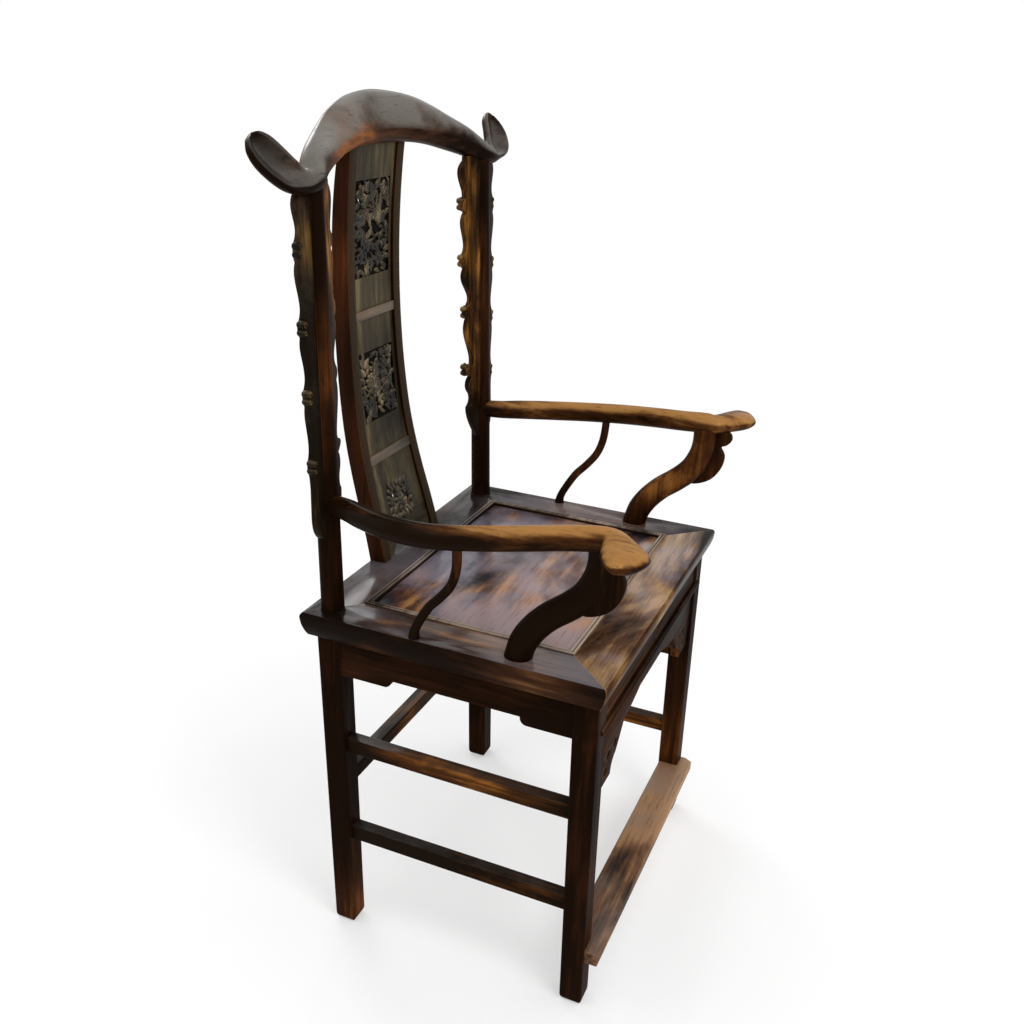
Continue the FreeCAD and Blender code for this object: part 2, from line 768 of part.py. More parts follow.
def make_arm():
    """Arm with its end turned outwards, before it is scribed to the back post."""
    points = arm_path()
    sections = []
    directions = tangents(points)
    root_shares = (0.0, 0.45, 0.85)
    for index, (point, direction) in enumerate(zip(points, directions)):
        grow = root_shares[index] if index < len(root_shares) else 1.0
        radius = arm_root_radius + (arm_radius - arm_root_radius) * grow
        across = direction.cross(Z_AXIS).normalize() * -1
        up = across.cross(direction).normalize()
        if up.z < 0:
            up = up * -1
        sections.append(section(point, up, across, radius, radius, round_shares))
    front = points[-1]
    for in_out, in_front, out_out, out_front, height_share in paddle_section_shares:
        inner = front + V(paddle_out * in_out, -paddle_front * in_front, 0)
        outer = front + V(paddle_out * out_out, -paddle_front * out_front, 0)
        centre = (inner + outer) * 0.5
        across = outer - inner
        half = across.Length / 2
        across.normalize()
        half_height = paddle_half_height * height_share
        sections.append(section(centre, Z_AXIS, across, half_height, half, round_shares))
    return rail(sections)


def arm_tenon():
    """Round tenon at the back of the arm, which enters the back post."""
    start = rear_centre(arm_height)
    base = start - Y_AXIS * arm_tenon_length
    return Part.makeCylinder(arm_tenon_radius, arm_tenon_length, base, Y_AXIS)


def gooseneck_path():
    """Middle line of the front arm post, with its direction at each point."""
    top = arm_height + arm_rise
    points = []
    for forward_share, rise_share in gooseneck_path_shares:
        points.append(V(gooseneck_half_spread, gooseneck_foot_y - gooseneck_forward * forward_share,
                        seat_height + (top - seat_height) * rise_share))
    points[-1].z = top - arm_radius + gooseneck_entry
    return points


def make_gooseneck():
    """S-shaped front post of the arm, its head housed in the arm's underside."""
    points = gooseneck_path()
    sections = []
    count = len(points)
    for index, (point, direction) in enumerate(zip(points, tangents(points))):
        share = index / (count - 1)
        half = gooseneck_half_width + (gooseneck_top_half_width - gooseneck_half_width) * share
        if index in (0, count - 1):
            direction = Z_AXIS
        depth = X_AXIS.cross(direction).normalize()
        sections.append(section(point, X_AXIS, depth, half, gooseneck_half_depth, round_shares))
    return rail(sections)


def gooseneck_foot_tenon():
    """Round tenon under the front arm post, which enters the side of the seat frame."""
    foot = gooseneck_path()[0]
    return Part.makeCylinder(gooseneck_tenon_radius, gooseneck_tenon_length + overrun,
                             foot - Z_AXIS * gooseneck_tenon_length, Z_AXIS)


def gooseneck_head_tenon():
    """Round tenon on the front arm post, which enters the arm."""
    head = gooseneck_path()[-1]
    length = arm_radius - gooseneck_entry + arm_post_tenon_rise
    return Part.makeCylinder(gooseneck_tenon_radius, length + overrun, head - Z_AXIS * overrun,
                             Z_AXIS)


def make_ear_board():
    """Lobed board in the angle between the front arm post and the arm."""
    neck = gooseneck_path()
    directions = tangents(neck)
    front_edge = []
    for point, direction in zip(neck[4:], directions[4:]):
        forward = X_AXIS.cross(direction).normalize()
        if forward.y > 0:
            forward = forward * -1
        front_edge.append(point + forward * (gooseneck_half_depth - ear_tongue))
    top = arm_height + arm_rise - paddle_half_height + ear_tongue
    head_y = front_edge[-1].y
    front_edge[-1] = V(gooseneck_half_spread, head_y, top)

    def place(shares):
        return [V(gooseneck_half_spread, head_y - ear_reach * out, top - ear_drop * down)
                for out, down in shares]

    nose = place(ear_nose_shares)
    lobe = place(ear_lobe_shares)
    foot = place(ear_foot_shares)
    foot[-1] = front_edge[0]
    corner = V(gooseneck_half_spread, nose[0].y, top)
    edges = smooth_edges(front_edge)
    edges += [line(front_edge[-1], corner), line(corner, nose[0]), arc(*nose), arc(*lobe),
              arc(*foot)]
    board = face_from_edges(edges).extrude(X_AXIS * ear_thickness)
    board.translate(X_AXIS * (-ear_thickness / 2))
    return board


def mid_post_path():
    """Middle line of the slender S-shaped post under the arm."""
    arm = arm_path()
    curve = Part.BSplineCurve()
    curve.interpolate(arm)
    head_y = mid_post_foot_y - mid_post_forward
    plane = Part.Plane(V(0, head_y, 0), Y_AXIS)
    head = V(*[getattr(curve.intersect(plane)[0][0], name) for name in ("X", "Y", "Z")])
    points = []
    for forward_share, rise_share in mid_post_path_shares:
        points.append(V(mid_post_half_spread + (head.x - mid_post_half_spread) * rise_share,
                        mid_post_foot_y - mid_post_forward * forward_share,
                        seat_height + (head.z - seat_height) * rise_share))
    points[-1].z = head.z - arm_radius + mid_post_entry
    return points


def make_mid_post():
    """Slender S-shaped post, its head housed in the arm's underside."""
    points = mid_post_path()
    sections = []
    for index, (point, direction) in enumerate(zip(points, tangents(points))):
        radius = mid_post_foot_radius if index == 0 else mid_post_radius
        if index == 0:
            direction = Z_AXIS
        depth = X_AXIS.cross(direction).normalize()
        side = direction.cross(depth).normalize()
        sections.append(section(point, side, depth, radius, radius, round_shares))
    return rail(sections)


def mid_post_tenons():
    """Round tenons at both ends of the slender post."""
    points = mid_post_path()
    foot = Part.makeCylinder(mid_post_tenon_radius, mid_post_tenon_length + overrun,
                             points[0] - Z_AXIS * mid_post_tenon_length, Z_AXIS)
    length = arm_radius - mid_post_entry + arm_post_tenon_rise
    head = Part.makeCylinder(mid_post_tenon_radius, length + overrun,
                             points[-1] - Z_AXIS * overrun, Z_AXIS)
    return foot, head


def splat_front_points(recess):
    """Points of the splat's curved side view, set back by a recess."""
    return [V(0, splat_foot_y + splat_lean * lean + recess, seat_height + back_height * rise)
            for rise, lean in splat_curve_shares]


def splat_slab(recess, depth, top_depth):
    """Curved slab as wide as the splat, from which its pieces are cut."""
    front = splat_front_points(recess)
    ground = -splat_housing
    rear = []
    for rise, lean in splat_curve_shares:
        thin = max(0, (rise - stile_depth_change_share) / (1 - stile_depth_change_share))
        local = depth + (top_depth - depth) * thin
        rear.append(V(0, splat_foot_y + splat_lean * lean + recess + local,
                      seat_height + back_height * rise))
    low_front = front[0] + Z_AXIS * ground
    low_rear = rear[0] + Z_AXIS * ground
    high_front = front[-1] + Z_AXIS * splat_housing
    high_rear = rear[-1] + Z_AXIS * splat_housing
    edges = [line(low_rear, low_front), line(low_front, front[0]), line(front[-1], high_front),
             line(high_front, high_rear), line(high_rear, rear[-1]), line(rear[0], low_rear)]
    edges += smooth_edges(front) + smooth_edges(rear)
    width = 2 * (splat_foot_half_width + overrun)
    slab = face_from_edges(edges).extrude(X_AXIS * width)
    slab.translate(X_AXIS * (-width / 2))
    return slab


def splat_side(inset):
    """Points down the +X side of the splat's outline, moved in by an inset."""
    waist = seat_height + back_height * splat_waist_height_share
    return [V(splat_foot_half_width - inset, 0, seat_height - splat_housing),
            V(splat_waist_half_width - inset, 0, waist),
            V(splat_top_half_width - inset, 0, splat_top + splat_housing)]


def splat_prism(outer_inset, inner_inset, low, high):
    """Upright prism between two lines down the splat's side, or across it with no inner line."""
    outer = splat_side(outer_inset)
    depth = splat_foot_y + splat_lean + stile_depth + crest_half_depth
    edges = smooth_edges(outer)
    if inner_inset is None:
        inner = [V(-point.x, 0, point.z) for point in outer]
    else:
        inner = splat_side(inner_inset)
    edges += smooth_edges(inner) + [line(outer[0], inner[0]), line(outer[-1], inner[-1])]
    prism = face_from_edges(edges).extrude(Y_AXIS * depth)
    band = block(-seat_width, seat_width, 0, depth, low, high)
    return prism.common(band)


def make_stile():
    """Curved side member of the splat, on the +X side."""
    slab = splat_slab(0, stile_depth, stile_top_depth)
    prism = splat_prism(0, stile_width, seat_height - splat_housing, splat_top + splat_housing)
    return largest(slab.common(prism))


def make_splat_bar(low):
    """Cross bar of the splat, with tenons that enter both stiles."""
    high = low + splat_bar_height
    slab = splat_slab(splat_bar_recess, splat_bar_depth, splat_bar_depth)
    body = slab.common(splat_prism(stile_width, None, low, high))
    setback = (splat_bar_depth - splat_bar_tenon_thickness) / 2
    core_slab = splat_slab(splat_bar_recess + setback, splat_bar_tenon_thickness,
                           splat_bar_tenon_thickness)
    lip = splat_bar_height / 5
    core = core_slab.common(splat_prism(stile_width - splat_bar_tenon, None, low + lip,
                                        high - lip))
    return largest(body.fuse(core))


def pierced_leaf(centre, length, turn_share):
    """Leaf between two arcs, cut through a splat board from front to back."""
    slope = 2 * math.pi * turn_share
    along = V(math.cos(slope), 0, math.sin(slope))
    side = along.cross(Y_AXIS) * (length * leaf_width_share / 2)
    tip = centre + along * (length / 2)
    root = centre - along * (length / 2)
    edges = [arc(root, centre + side, tip), arc(tip, centre - side, root)]
    through = splat_foot_y + splat_lean + stile_depth
    return Part.Face(Part.Wire(edges)).extrude(Y_AXIS * through)


def make_splat_panel(low, high, field, leaves):
    """Thin board of the splat, let into grooves, with a sunk field of pierced leaves."""
    slab = splat_slab(splat_panel_recess, splat_panel_thickness, splat_panel_thickness)
    board = slab.common(splat_prism(stile_width - splat_panel_tongue, None, low, high))
    middle, half_height, half_field = field
    sunk = splat_slab(splat_panel_recess - overrun, overrun + carving_depth,
                      overrun + carving_depth)
    board = board.cut(sunk.common(block(-half_field, half_field, 0, seat_width,
                                        middle - half_height, middle + half_height)))
    for across, up, size, turn in leaves:
        for sign in (-1, 1):
            centre = V(sign * half_field * across, 0, middle + half_height * up)
            board = board.cut(pierced_leaf(centre, half_field * size, sign * turn))
    return largest(board)


def carved_field(low, high):
    """Middle, half height and half width of the carving between two heights of a board."""
    foot = low + carving_foot_margin
    head = high - carving_head_margin
    return ((foot + head) / 2, (head - foot) / 2,
            splat_waist_half_width - stile_width - carving_side_margin)


def make_foot_spandrel():
    """Lowest board of the splat, cut to an arch over the seat."""
    top = seat_height + foot_bar_height
    slab = splat_slab(splat_panel_recess, splat_panel_thickness, splat_panel_thickness)
    board = slab.common(splat_prism(stile_width - splat_panel_tongue, None, seat_height, top))
    low = seat_height - overrun
    crown = seat_height + foot_arch_height
    shoulder_share = 0.62
    edges = [line(V(-foot_arch_half_width, 0, low), V(foot_arch_half_width, 0, low)),
             line(V(foot_arch_half_width, 0, low), V(foot_arch_half_width, 0, seat_height)),
             line(V(-foot_arch_half_width, 0, seat_height), V(-foot_arch_half_width, 0, low))]
    for sign in (-1, 1):
        edges.append(arc(V(sign * foot_arch_half_width, 0, seat_height),
                         V(sign * foot_arch_half_width * shoulder_share, 0,
                           seat_height + foot_arch_height * shoulder_share),
                         V(0, 0, crown)))
    arch = face_from_edges(edges).extrude(Y_AXIS * (splat_foot_y + splat_lean + stile_depth))
    return largest(board.cut(arch))


def crest_stations():
    """Centre, half height, half depth, lean and section of each station on the +X side."""
    stations = []
    middle_height = crest_top - crest_half_height
    for spread, bow, fall, change, head in crest_station_shares:
        centre = V(crest_neck_half_spread * spread,
                   crest_middle_y + (crest_neck_y - crest_middle_y) * bow,
                   middle_height + (crest_neck_height - middle_height) * fall)
        half_height = crest_half_height + (crest_neck_half_height - crest_half_height) * change
        half_depth_here = crest_half_depth + (crest_neck_half_depth - crest_half_depth) * change
        shares = blended(round_shares, headrest_shares, head)
        stations.append((centre, half_height, half_depth_here, 0.0, shares))
    for reach, back, rise, width, thickness, scoop in horn_station_shares:
        centre = V(crest_neck_half_spread + horn_reach * reach,
                   crest_neck_y + horn_back * back,
                   crest_neck_height + horn_rise * rise)
        shares = blended(round_shares, scoop_shares, scoop)
        stations.append((centre, horn_half_width * width, horn_half_thickness * thickness,
                         horn_lean * scoop, shares))
    return stations


def make_crest_rail():
    """Yoke-shaped crest rail, swept through its stations from horn to horn."""
    half = crest_stations()
    other = []
    for centre, half_height, depth, lean, shares in reversed(half[1:]):
        other.append((V(-centre.x, centre.y, centre.z), half_height, depth, lean, shares))
    stations = other + half
    directions = tangents([station[0] for station in stations])
    wires = []
    for (centre, half_height, depth, lean, shares), along in zip(stations, directions):
        angle = math.radians(lean)
        front = V(0, -math.cos(angle), math.sin(angle))
        front = (front - along * front.dot(along)).normalize()
        up = front.cross(along).normalize()
        wires.append(section(centre, up, front, half_height, depth, shares))
    return rail(wires)


def make_flange(lobe_rows, reach, side_sign):
    """Scalloped strip on one side of the +X back post, in the post's own leaning plane."""
    length = flange_top_height - flange_foot_height
    start = rear_centre(flange_foot_height)
    top = rear_centre(flange_top_height + overrun)
    lean = (top.y - start.y) / (top.z - start.z)

    def place(up_share, out_share):
        height = flange_foot_height + length * up_share
        face = post_radius(height)
        offset = side_sign * (face + reach * out_share)
        return V(start.x + offset, 0, height)

    edges = []
    for row in lobe_rows:
        points = [place(up_share, out_share) for up_share, out_share in row]
        edges += smooth_edges(points)
    inner = post_foot_radius - flange_tongue
    low = V(start.x + side_sign * inner, 0, flange_foot_height)
    high = V(start.x + side_sign * inner, 0, flange_top_height + overrun)
    last = place(1.0, lobe_rows[-1][-1][1])
    tip = V(last.x, 0, high.z)
    edges += [line(low, place(0.0, lobe_rows[0][0][1])), line(last, tip), line(tip, high),
              line(high, low)]
    strip = face_from_edges(edges).extrude(Y_AXIS * flange_thickness)
    strip.translate(Y_AXIS * (-flange_thickness / 2))
    if side_sign < 0:
        strip.rotate(V(start.x - post_foot_radius, 0, 0), Z_AXIS, -inner_flange_swing)
    strip.rotate(ORIGIN, X_AXIS, -math.degrees(math.atan(lean)))
    here = rear_centre(0)
    strip.translate(V(0, here.y, 0))
    return strip


pieces = {}


def both_sides(name, shape):
    """Store a piece of the +X side and its mirror image."""
    pieces[name + "_left"] = shape
    pieces[name + "_right"] = mirrored(shape)


# Legs and the round timbers above the seat
rear_leg, post_tenon = make_rear_leg()
front_leg = make_front_leg()
crest_rail = make_crest_rail()
arm = make_arm()

# Seat frame, board and battens
side_member = frame_member(half_width, seat_depth)
cross_member = frame_member(half_depth, seat_width)
frame = {"seat_frame_left": side_member, "seat_frame_right": turned(side_member, 180),
         "seat_frame_back": turned(cross_member, 90), "seat_frame_front": turned(cross_member, -90)}
seat_panel = make_seat_panel()
battens = {"seat_batten_left": make_batten(1), "seat_batten_right": make_batten(-1)}

# Back of the chair: each piece is scribed to the next, and housed where it enters it
arm = largest(arm.cut(rear_leg)).fuse(arm_tenon())
rear_leg = rear_leg.cut(arm_tenon())
seated_head = rear_leg.fuse(post_tenon)
outer_flange = make_flange(outer_flange_lobe_shares, outer_flange_reach, 1)
inner_flange = make_flange(inner_flange_lobe_shares, inner_flange_reach, -1)
rear_leg = rear_leg.cut(outer_flange).cut(inner_flange).fuse(post_tenon)
outer_flange = largest(outer_flange.cut(crest_rail))
inner_flange = largest(inner_flange.cut(crest_rail))
crest_rail = crest_rail.cut(seated_head).cut(mirrored(seated_head))

# Splat
stile = make_stile()
upper_low = seat_height + upper_bar_height
lower_low = seat_height + lower_bar_height
upper_field = carved_field(upper_low + splat_bar_height, splat_top)
middle_field = carved_field(lower_low + splat_bar_height, upper_low)
medallion = (seat_height + medallion_over_seat, medallion_half_height, medallion_half_width)
groove = splat_bar_height / 4
splat = {
    "splat_upper_bar": make_splat_bar(upper_low),
    "splat_lower_bar": make_splat_bar(lower_low),
    "splat_upper_panel": make_splat_panel(upper_low + splat_bar_height - groove,
                                          splat_top + splat_housing, upper_field,
                                          leaf_shares),
    "splat_middle_panel": make_splat_panel(lower_low + splat_bar_height - groove,
                                           upper_low + groove, middle_field, leaf_shares),
    "splat_lower_panel": make_splat_panel(seat_height + foot_bar_height, lower_low + groove,
                                          medallion, medallion_leaf_shares),
    "splat_foot_spandrel": make_foot_spandrel(),
}
for board_name in ("splat_upper_panel", "splat_middle_panel", "splat_lower_panel"):
    for bar_name in ("splat_upper_bar", "splat_lower_bar"):
        splat[bar_name] = splat[bar_name].cut(splat[board_name])
for piece in splat.values():
    stile = stile.cut(piece)
crest_rail = crest_rail.cut(stile).cut(mirrored(stile)).cut(splat["splat_upper_panel"])
frame["seat_frame_back"] = frame["seat_frame_back"].cut(stile).cut(mirrored(stile))

# Posts under the arm
gooseneck = make_gooseneck()
gooseneck_tenons = (gooseneck_foot_tenon(), gooseneck_head_tenon())
ear_board = make_ear_board()
gooseneck = gooseneck.cut(ear_board)
for tenon in gooseneck_tenons:
    gooseneck = gooseneck.fuse(tenon)
ear_board = ear_board.cut(gooseneck)
mid_post = make_mid_post()
for tenon in mid_post_tenons():
    mid_post = mid_post.fuse(tenon)
arm = arm.cut(gooseneck).cut(mid_post).cut(ear_board)

# Seat frame joints
for end_name, end_sign in (("seat_frame_back", 1), ("seat_frame_front", -1)):
    for side_name, side_sign in (("seat_frame_left", 1), ("seat_frame_right", -1)):
        tenon = mitre_tenon(side_sign, end_sign)
        frame[end_name] = frame[end_name].fuse(tenon)
        frame[side_name] = frame[side_name].cut(tenon)
entering = [seat_panel, gooseneck, mid_post, front_leg, rear_leg]
for name in frame:
    for piece in entering:
        frame[name] = frame[name].cut(piece)
        frame[name] = frame[name].cut(mirrored(piece))
    for batten in battens.values():
        frame[name] = frame[name].cut(batten)

# Rails between the legs
upper_ends = (front_centre(upper_stretcher_height), rear_centre(upper_stretcher_height))
lower_ends = (front_centre(lower_stretcher_height), rear_centre(lower_stretcher_height))
back_end = rear_centre(back_stretcher_height)
rails = {}
for name, ends in (("upper_stretcher", upper_ends), ("lower_stretcher", lower_ends)):
    body, core = stretcher_pair(ends[0], ends[1], X_AXIS)
    rails[name] = largest(body.cut(front_leg).cut(rear_leg)).fuse(core)
    front_leg = front_leg.cut(core)
    rear_leg = rear_leg.cut(core)
body, core = stretcher_pair(V(-back_end.x, back_end.y, back_end.z), back_end, Y_AXIS)
back_stretcher = largest(body.cut(rear_leg).cut(mirrored(rear_leg))).fuse(core)
rear_leg = rear_leg.cut(core)
board = footrest_board()
core = footrest_core()
footrest = largest(board.cut(front_leg).cut(mirrored(front_leg))).fuse(core)
front_leg = front_leg.cut(core)

# Boards under the frame, their ends let into the legs
side_apron = make_side_apron()
back_apron = make_back_apron()
frieze = make_frieze()
moulding = make_moulding()
front_apron = make_front_apron()
bracket = make_bracket().cut(front_apron)
back_apron = back_apron.cut(side_apron).cut(mirrored(side_apron))
for piece in (side_apron, frieze, moulding, front_apron, bracket):
    front_leg = front_leg.cut(piece)
for piece in (side_apron, back_apron):
    rear_leg = rear_leg.cut(piece)

both_sides("rear_leg", rear_leg)
both_sides("front_leg", front_leg)
both_sides("arm", arm)
both_sides("gooseneck_post", gooseneck)
both_sides("ear_board", ear_board)
both_sides("mid_post", mid_post)
both_sides("outer_post_strip", outer_flange)
both_sides("inner_post_strip", inner_flange)
both_sides("splat_stile", stile)
both_sides("upper_stretcher", rails["upper_stretcher"])
both_sides("lower_stretcher", rails["lower_stretcher"])
both_sides("side_apron", side_apron)
both_sides("front_bracket", bracket)
pieces.update(frame)
pieces.update(battens)
pieces.update(splat)
pieces["crest_rail"] = crest_rail
pieces["seat_panel"] = seat_panel
pieces["back_stretcher"] = back_stretcher
pieces["footrest"] = footrest
pieces["back_apron"] = back_apron
pieces["front_frieze"] = frieze
pieces["front_moulding"] = moulding
pieces["front_apron"] = front_apron

# The origin lies on the floor under the middle of the whole chair
whole = Part.makeCompound(list(pieces.values())).optimalBoundingBox(False)
shift = V(0, -(whole.YMin + whole.YMax) / 2, 0)

os.makedirs("parts", exist_ok=True)
for name, shape in pieces.items():
    placed = shape.copy()
    placed.translate(shift)
    placed.exportStep("parts/" + name + ".step")
    print(name, len(placed.Solids), "solid, valid", placed.isValid(), round(placed.Volume))
print("shift", round(shift.y, 2), "pieces", len(pieces))
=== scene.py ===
import json
import logging
import math
import random
from dataclasses import dataclass
from enum import Enum
from typing import Iterable, Sequence

import bmesh
import bpy
from mathutils import Matrix, Vector


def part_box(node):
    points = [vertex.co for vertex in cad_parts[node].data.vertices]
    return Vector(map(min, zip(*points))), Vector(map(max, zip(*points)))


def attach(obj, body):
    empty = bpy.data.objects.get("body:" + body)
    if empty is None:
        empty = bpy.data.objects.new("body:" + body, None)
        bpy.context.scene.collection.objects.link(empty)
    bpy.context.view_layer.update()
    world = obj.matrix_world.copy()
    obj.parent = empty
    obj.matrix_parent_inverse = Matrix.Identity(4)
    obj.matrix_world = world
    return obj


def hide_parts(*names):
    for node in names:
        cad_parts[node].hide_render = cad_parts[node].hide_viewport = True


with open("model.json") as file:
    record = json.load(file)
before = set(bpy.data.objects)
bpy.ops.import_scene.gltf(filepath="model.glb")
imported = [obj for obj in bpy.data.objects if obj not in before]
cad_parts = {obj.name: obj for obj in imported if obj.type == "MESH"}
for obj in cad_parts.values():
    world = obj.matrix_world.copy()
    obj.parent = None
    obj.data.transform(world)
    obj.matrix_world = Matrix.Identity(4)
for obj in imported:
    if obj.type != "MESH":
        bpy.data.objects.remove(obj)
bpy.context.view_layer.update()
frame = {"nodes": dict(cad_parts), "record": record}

log = logging.getLogger("armchair")

Point = tuple[float, float, float]
Colour = tuple[float, float, float, float]
Share = tuple[float, float]
Stations = tuple[tuple[float, ...], ...]
ROOT = "root"
UP = Vector((0, 0, 1))
AXIS_X = Vector((1, 0, 0))


class Side(Enum):
    """Which side of the chair a piece is on, as the sign of its X."""

    LEFT = 1
    RIGHT = -1

    @property
    def suffix(self) -> str:
        """End of a node's name on this side."""
        return "_" + self.name.lower()


class Grain(Enum):
    """Which way the grain of a timber runs, as the stretch of its pattern along each axis."""

    ACROSS = (0.05, 1.0, 1.0)
    FORWARD = (1.0, 0.05, 1.0)
    UPRIGHT = (1.0, 1.0, 0.05)


# Sizes are in metres, and places are given from the middle of the seat frame, on the floor
SEAT_LOW, SEAT_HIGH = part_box("seat_frame_left")
MIDDLE_Y = (SEAT_LOW.y + SEAT_HIGH.y) / 2
SEAT_TOP = 0.530

# Sizes of the lacquer's patterns, and how strongly each shows
STREAK_SCALE = 130.0
PORE_SCALE = 520.0
PATCH_BREADTH = 0.3
BROADER = 3
ARRIS_RADIUS = 0.0022
PORE_STRENGTH = 0.5
# Grey dust with painted sheen: size and contrast of its clouds, sheen painted on faces that look
# up, and its fading away from the middle plane
DUST_SHEEN_SCALE = 0.7
DUST_SHEEN_CONTRAST = 2.4
DUST_SHEEN_UPWARD = 0.35
DUST_SHEEN_FADE = 0.85
PATCH_ROUGHNESS = 0.35
STREAK_ROUGHNESS = 0.2
STREAK_RELIEF = 0.5
PORE_RELIEF = 0.2
PATCH_RELIEF = 0.8
RELIEF_STRENGTH = 0.3
RELIEF_DEPTH = 0.0012
COAT_ROUGHNESS = 0.16

# Detail and roughness of each noise
STREAK_NOISE: Share = (5.0, 0.62)
PATCH_NOISE: Share = (6.0, 0.6)
BROAD_NOISE: Share = (2.0, 0.5)
DUST_SHEEN_NOISE: Share = (5.0, 0.6)
PATCH_DISTORTION = 0.5
ARRIS_SAMPLES = 6

# Sockets of a Mix node that blends colours
MIX_FACTOR, MIX_FIRST, MIX_SECOND, MIX_RESULT = 0, 6, 7, 2

# Values between which one look turns into the next
FRONT_SPAN: Share = (-0.13, 0.20)
INWARD_SPAN: Share = (0.1, 0.9)
AHEAD_SPAN: Share = (0.5, 0.9)
ARRIS_SPAN: Share = (0.012, 0.20)
THIN_SPAN: Share = (0.05, 0.55)
BARE_SPAN: Share = (0.42, 1.0)
DUST_SHEEN_SPAN: Share = (0.35, 0.95)
PORE_SPAN: Share = (0.58, 0.72)
GLOSS_SPAN: Share = (0.36, 0.64)

# Edges that turn by less than these angles, in radians, are shaded smooth
JOINER_ANGLE = 0.6
BOARD_ANGLE = 1.0
LEAF_ANGLE = 1.1
CARVER_ANGLE = 1.2

# Parts of a span between two given sections of a lofted timber
SECTION_STEPS = 4
RAIL_STEPS = 4
POST_STEPS = 5


def place(x: float, y: float, z: float) -> Vector:
    """Point given from the middle of the seat frame, on the floor."""
    return Vector((x, y + MIDDLE_Y, z))


def tone(code: str) -> Colour:
    """Linear colour of a hexadecimal screen colour.

    Args:
        code: Six hexadecimal digits, red first.

    Returns:
        Red, green, blue and alpha.
    """
    knee, slope, offset, power = 0.04045, 12.92, 0.055, 2.4
    channels = [part / 255 for part in bytes.fromhex(code)]
    red, green, blue = (part / slope if part <= knee
                        else ((part + offset) / (1 + offset)) ** power for part in channels)
    return (red, green, blue, 1.0)


class Sock:
    """A number socket in a graph. Arithmetic on it adds Math nodes."""

    def __init__(self, graph: "Graph", socket: bpy.types.NodeSocket) -> None:
        """Keep the graph and the socket."""
        self.graph = graph
        self.socket = socket

    def _math(self, operation: str, *values: "Sock | float") -> "Sock":
        """Math node on one or two values."""
        node = self.graph.node("ShaderNodeMath", {"operation": operation}, dict(enumerate(values)))
        return Sock(self.graph, node.outputs[0])

    def __add__(self, other: "Sock | float") -> "Sock":
        """Sum."""
        return self._math("ADD", self, other)

    __radd__ = __add__

    def __sub__(self, other: "Sock | float") -> "Sock":
        """Difference."""
        return self._math("SUBTRACT", self, other)

    def __rsub__(self, other: "Sock | float") -> "Sock":
        """Difference, turned round."""
        return self._math("SUBTRACT", other, self)

    def __mul__(self, other: "Sock | float") -> "Sock":
        """Product."""
        return self._math("MULTIPLY", self, other)

    __rmul__ = __mul__

    def __neg__(self) -> "Sock":
        """The value with its sign turned."""
        return self * -1.0

    def __abs__(self) -> "Sock":
        """The value without its sign."""
        return self._math("ABSOLUTE", self)

    def sign(self) -> "Sock":
        """The value's sign."""
        return self._math("SIGN", self)

    def most(self, other: "Sock | float") -> "Sock":
        """The larger of two values."""
        return self._math("MAXIMUM", self, other)

    def centred(self) -> "Sock":
        """Noise about 0 rather than about a half."""
        return self - 0.5

    def step(self, span: Share) -> "Sock":
        """Smooth step from 0 at the low end of a span to 1 at its high end.

        Args:
            span: Values between which it rises.

        Returns:
            The step.
        """
        node = self.graph.node("ShaderNodeMapRange", {"interpolation_type": "SMOOTHSTEP"},
                               {"Value": self, "From Min": span[0], "From Max": span[1]})
        return Sock(self.graph, node.outputs["Result"])


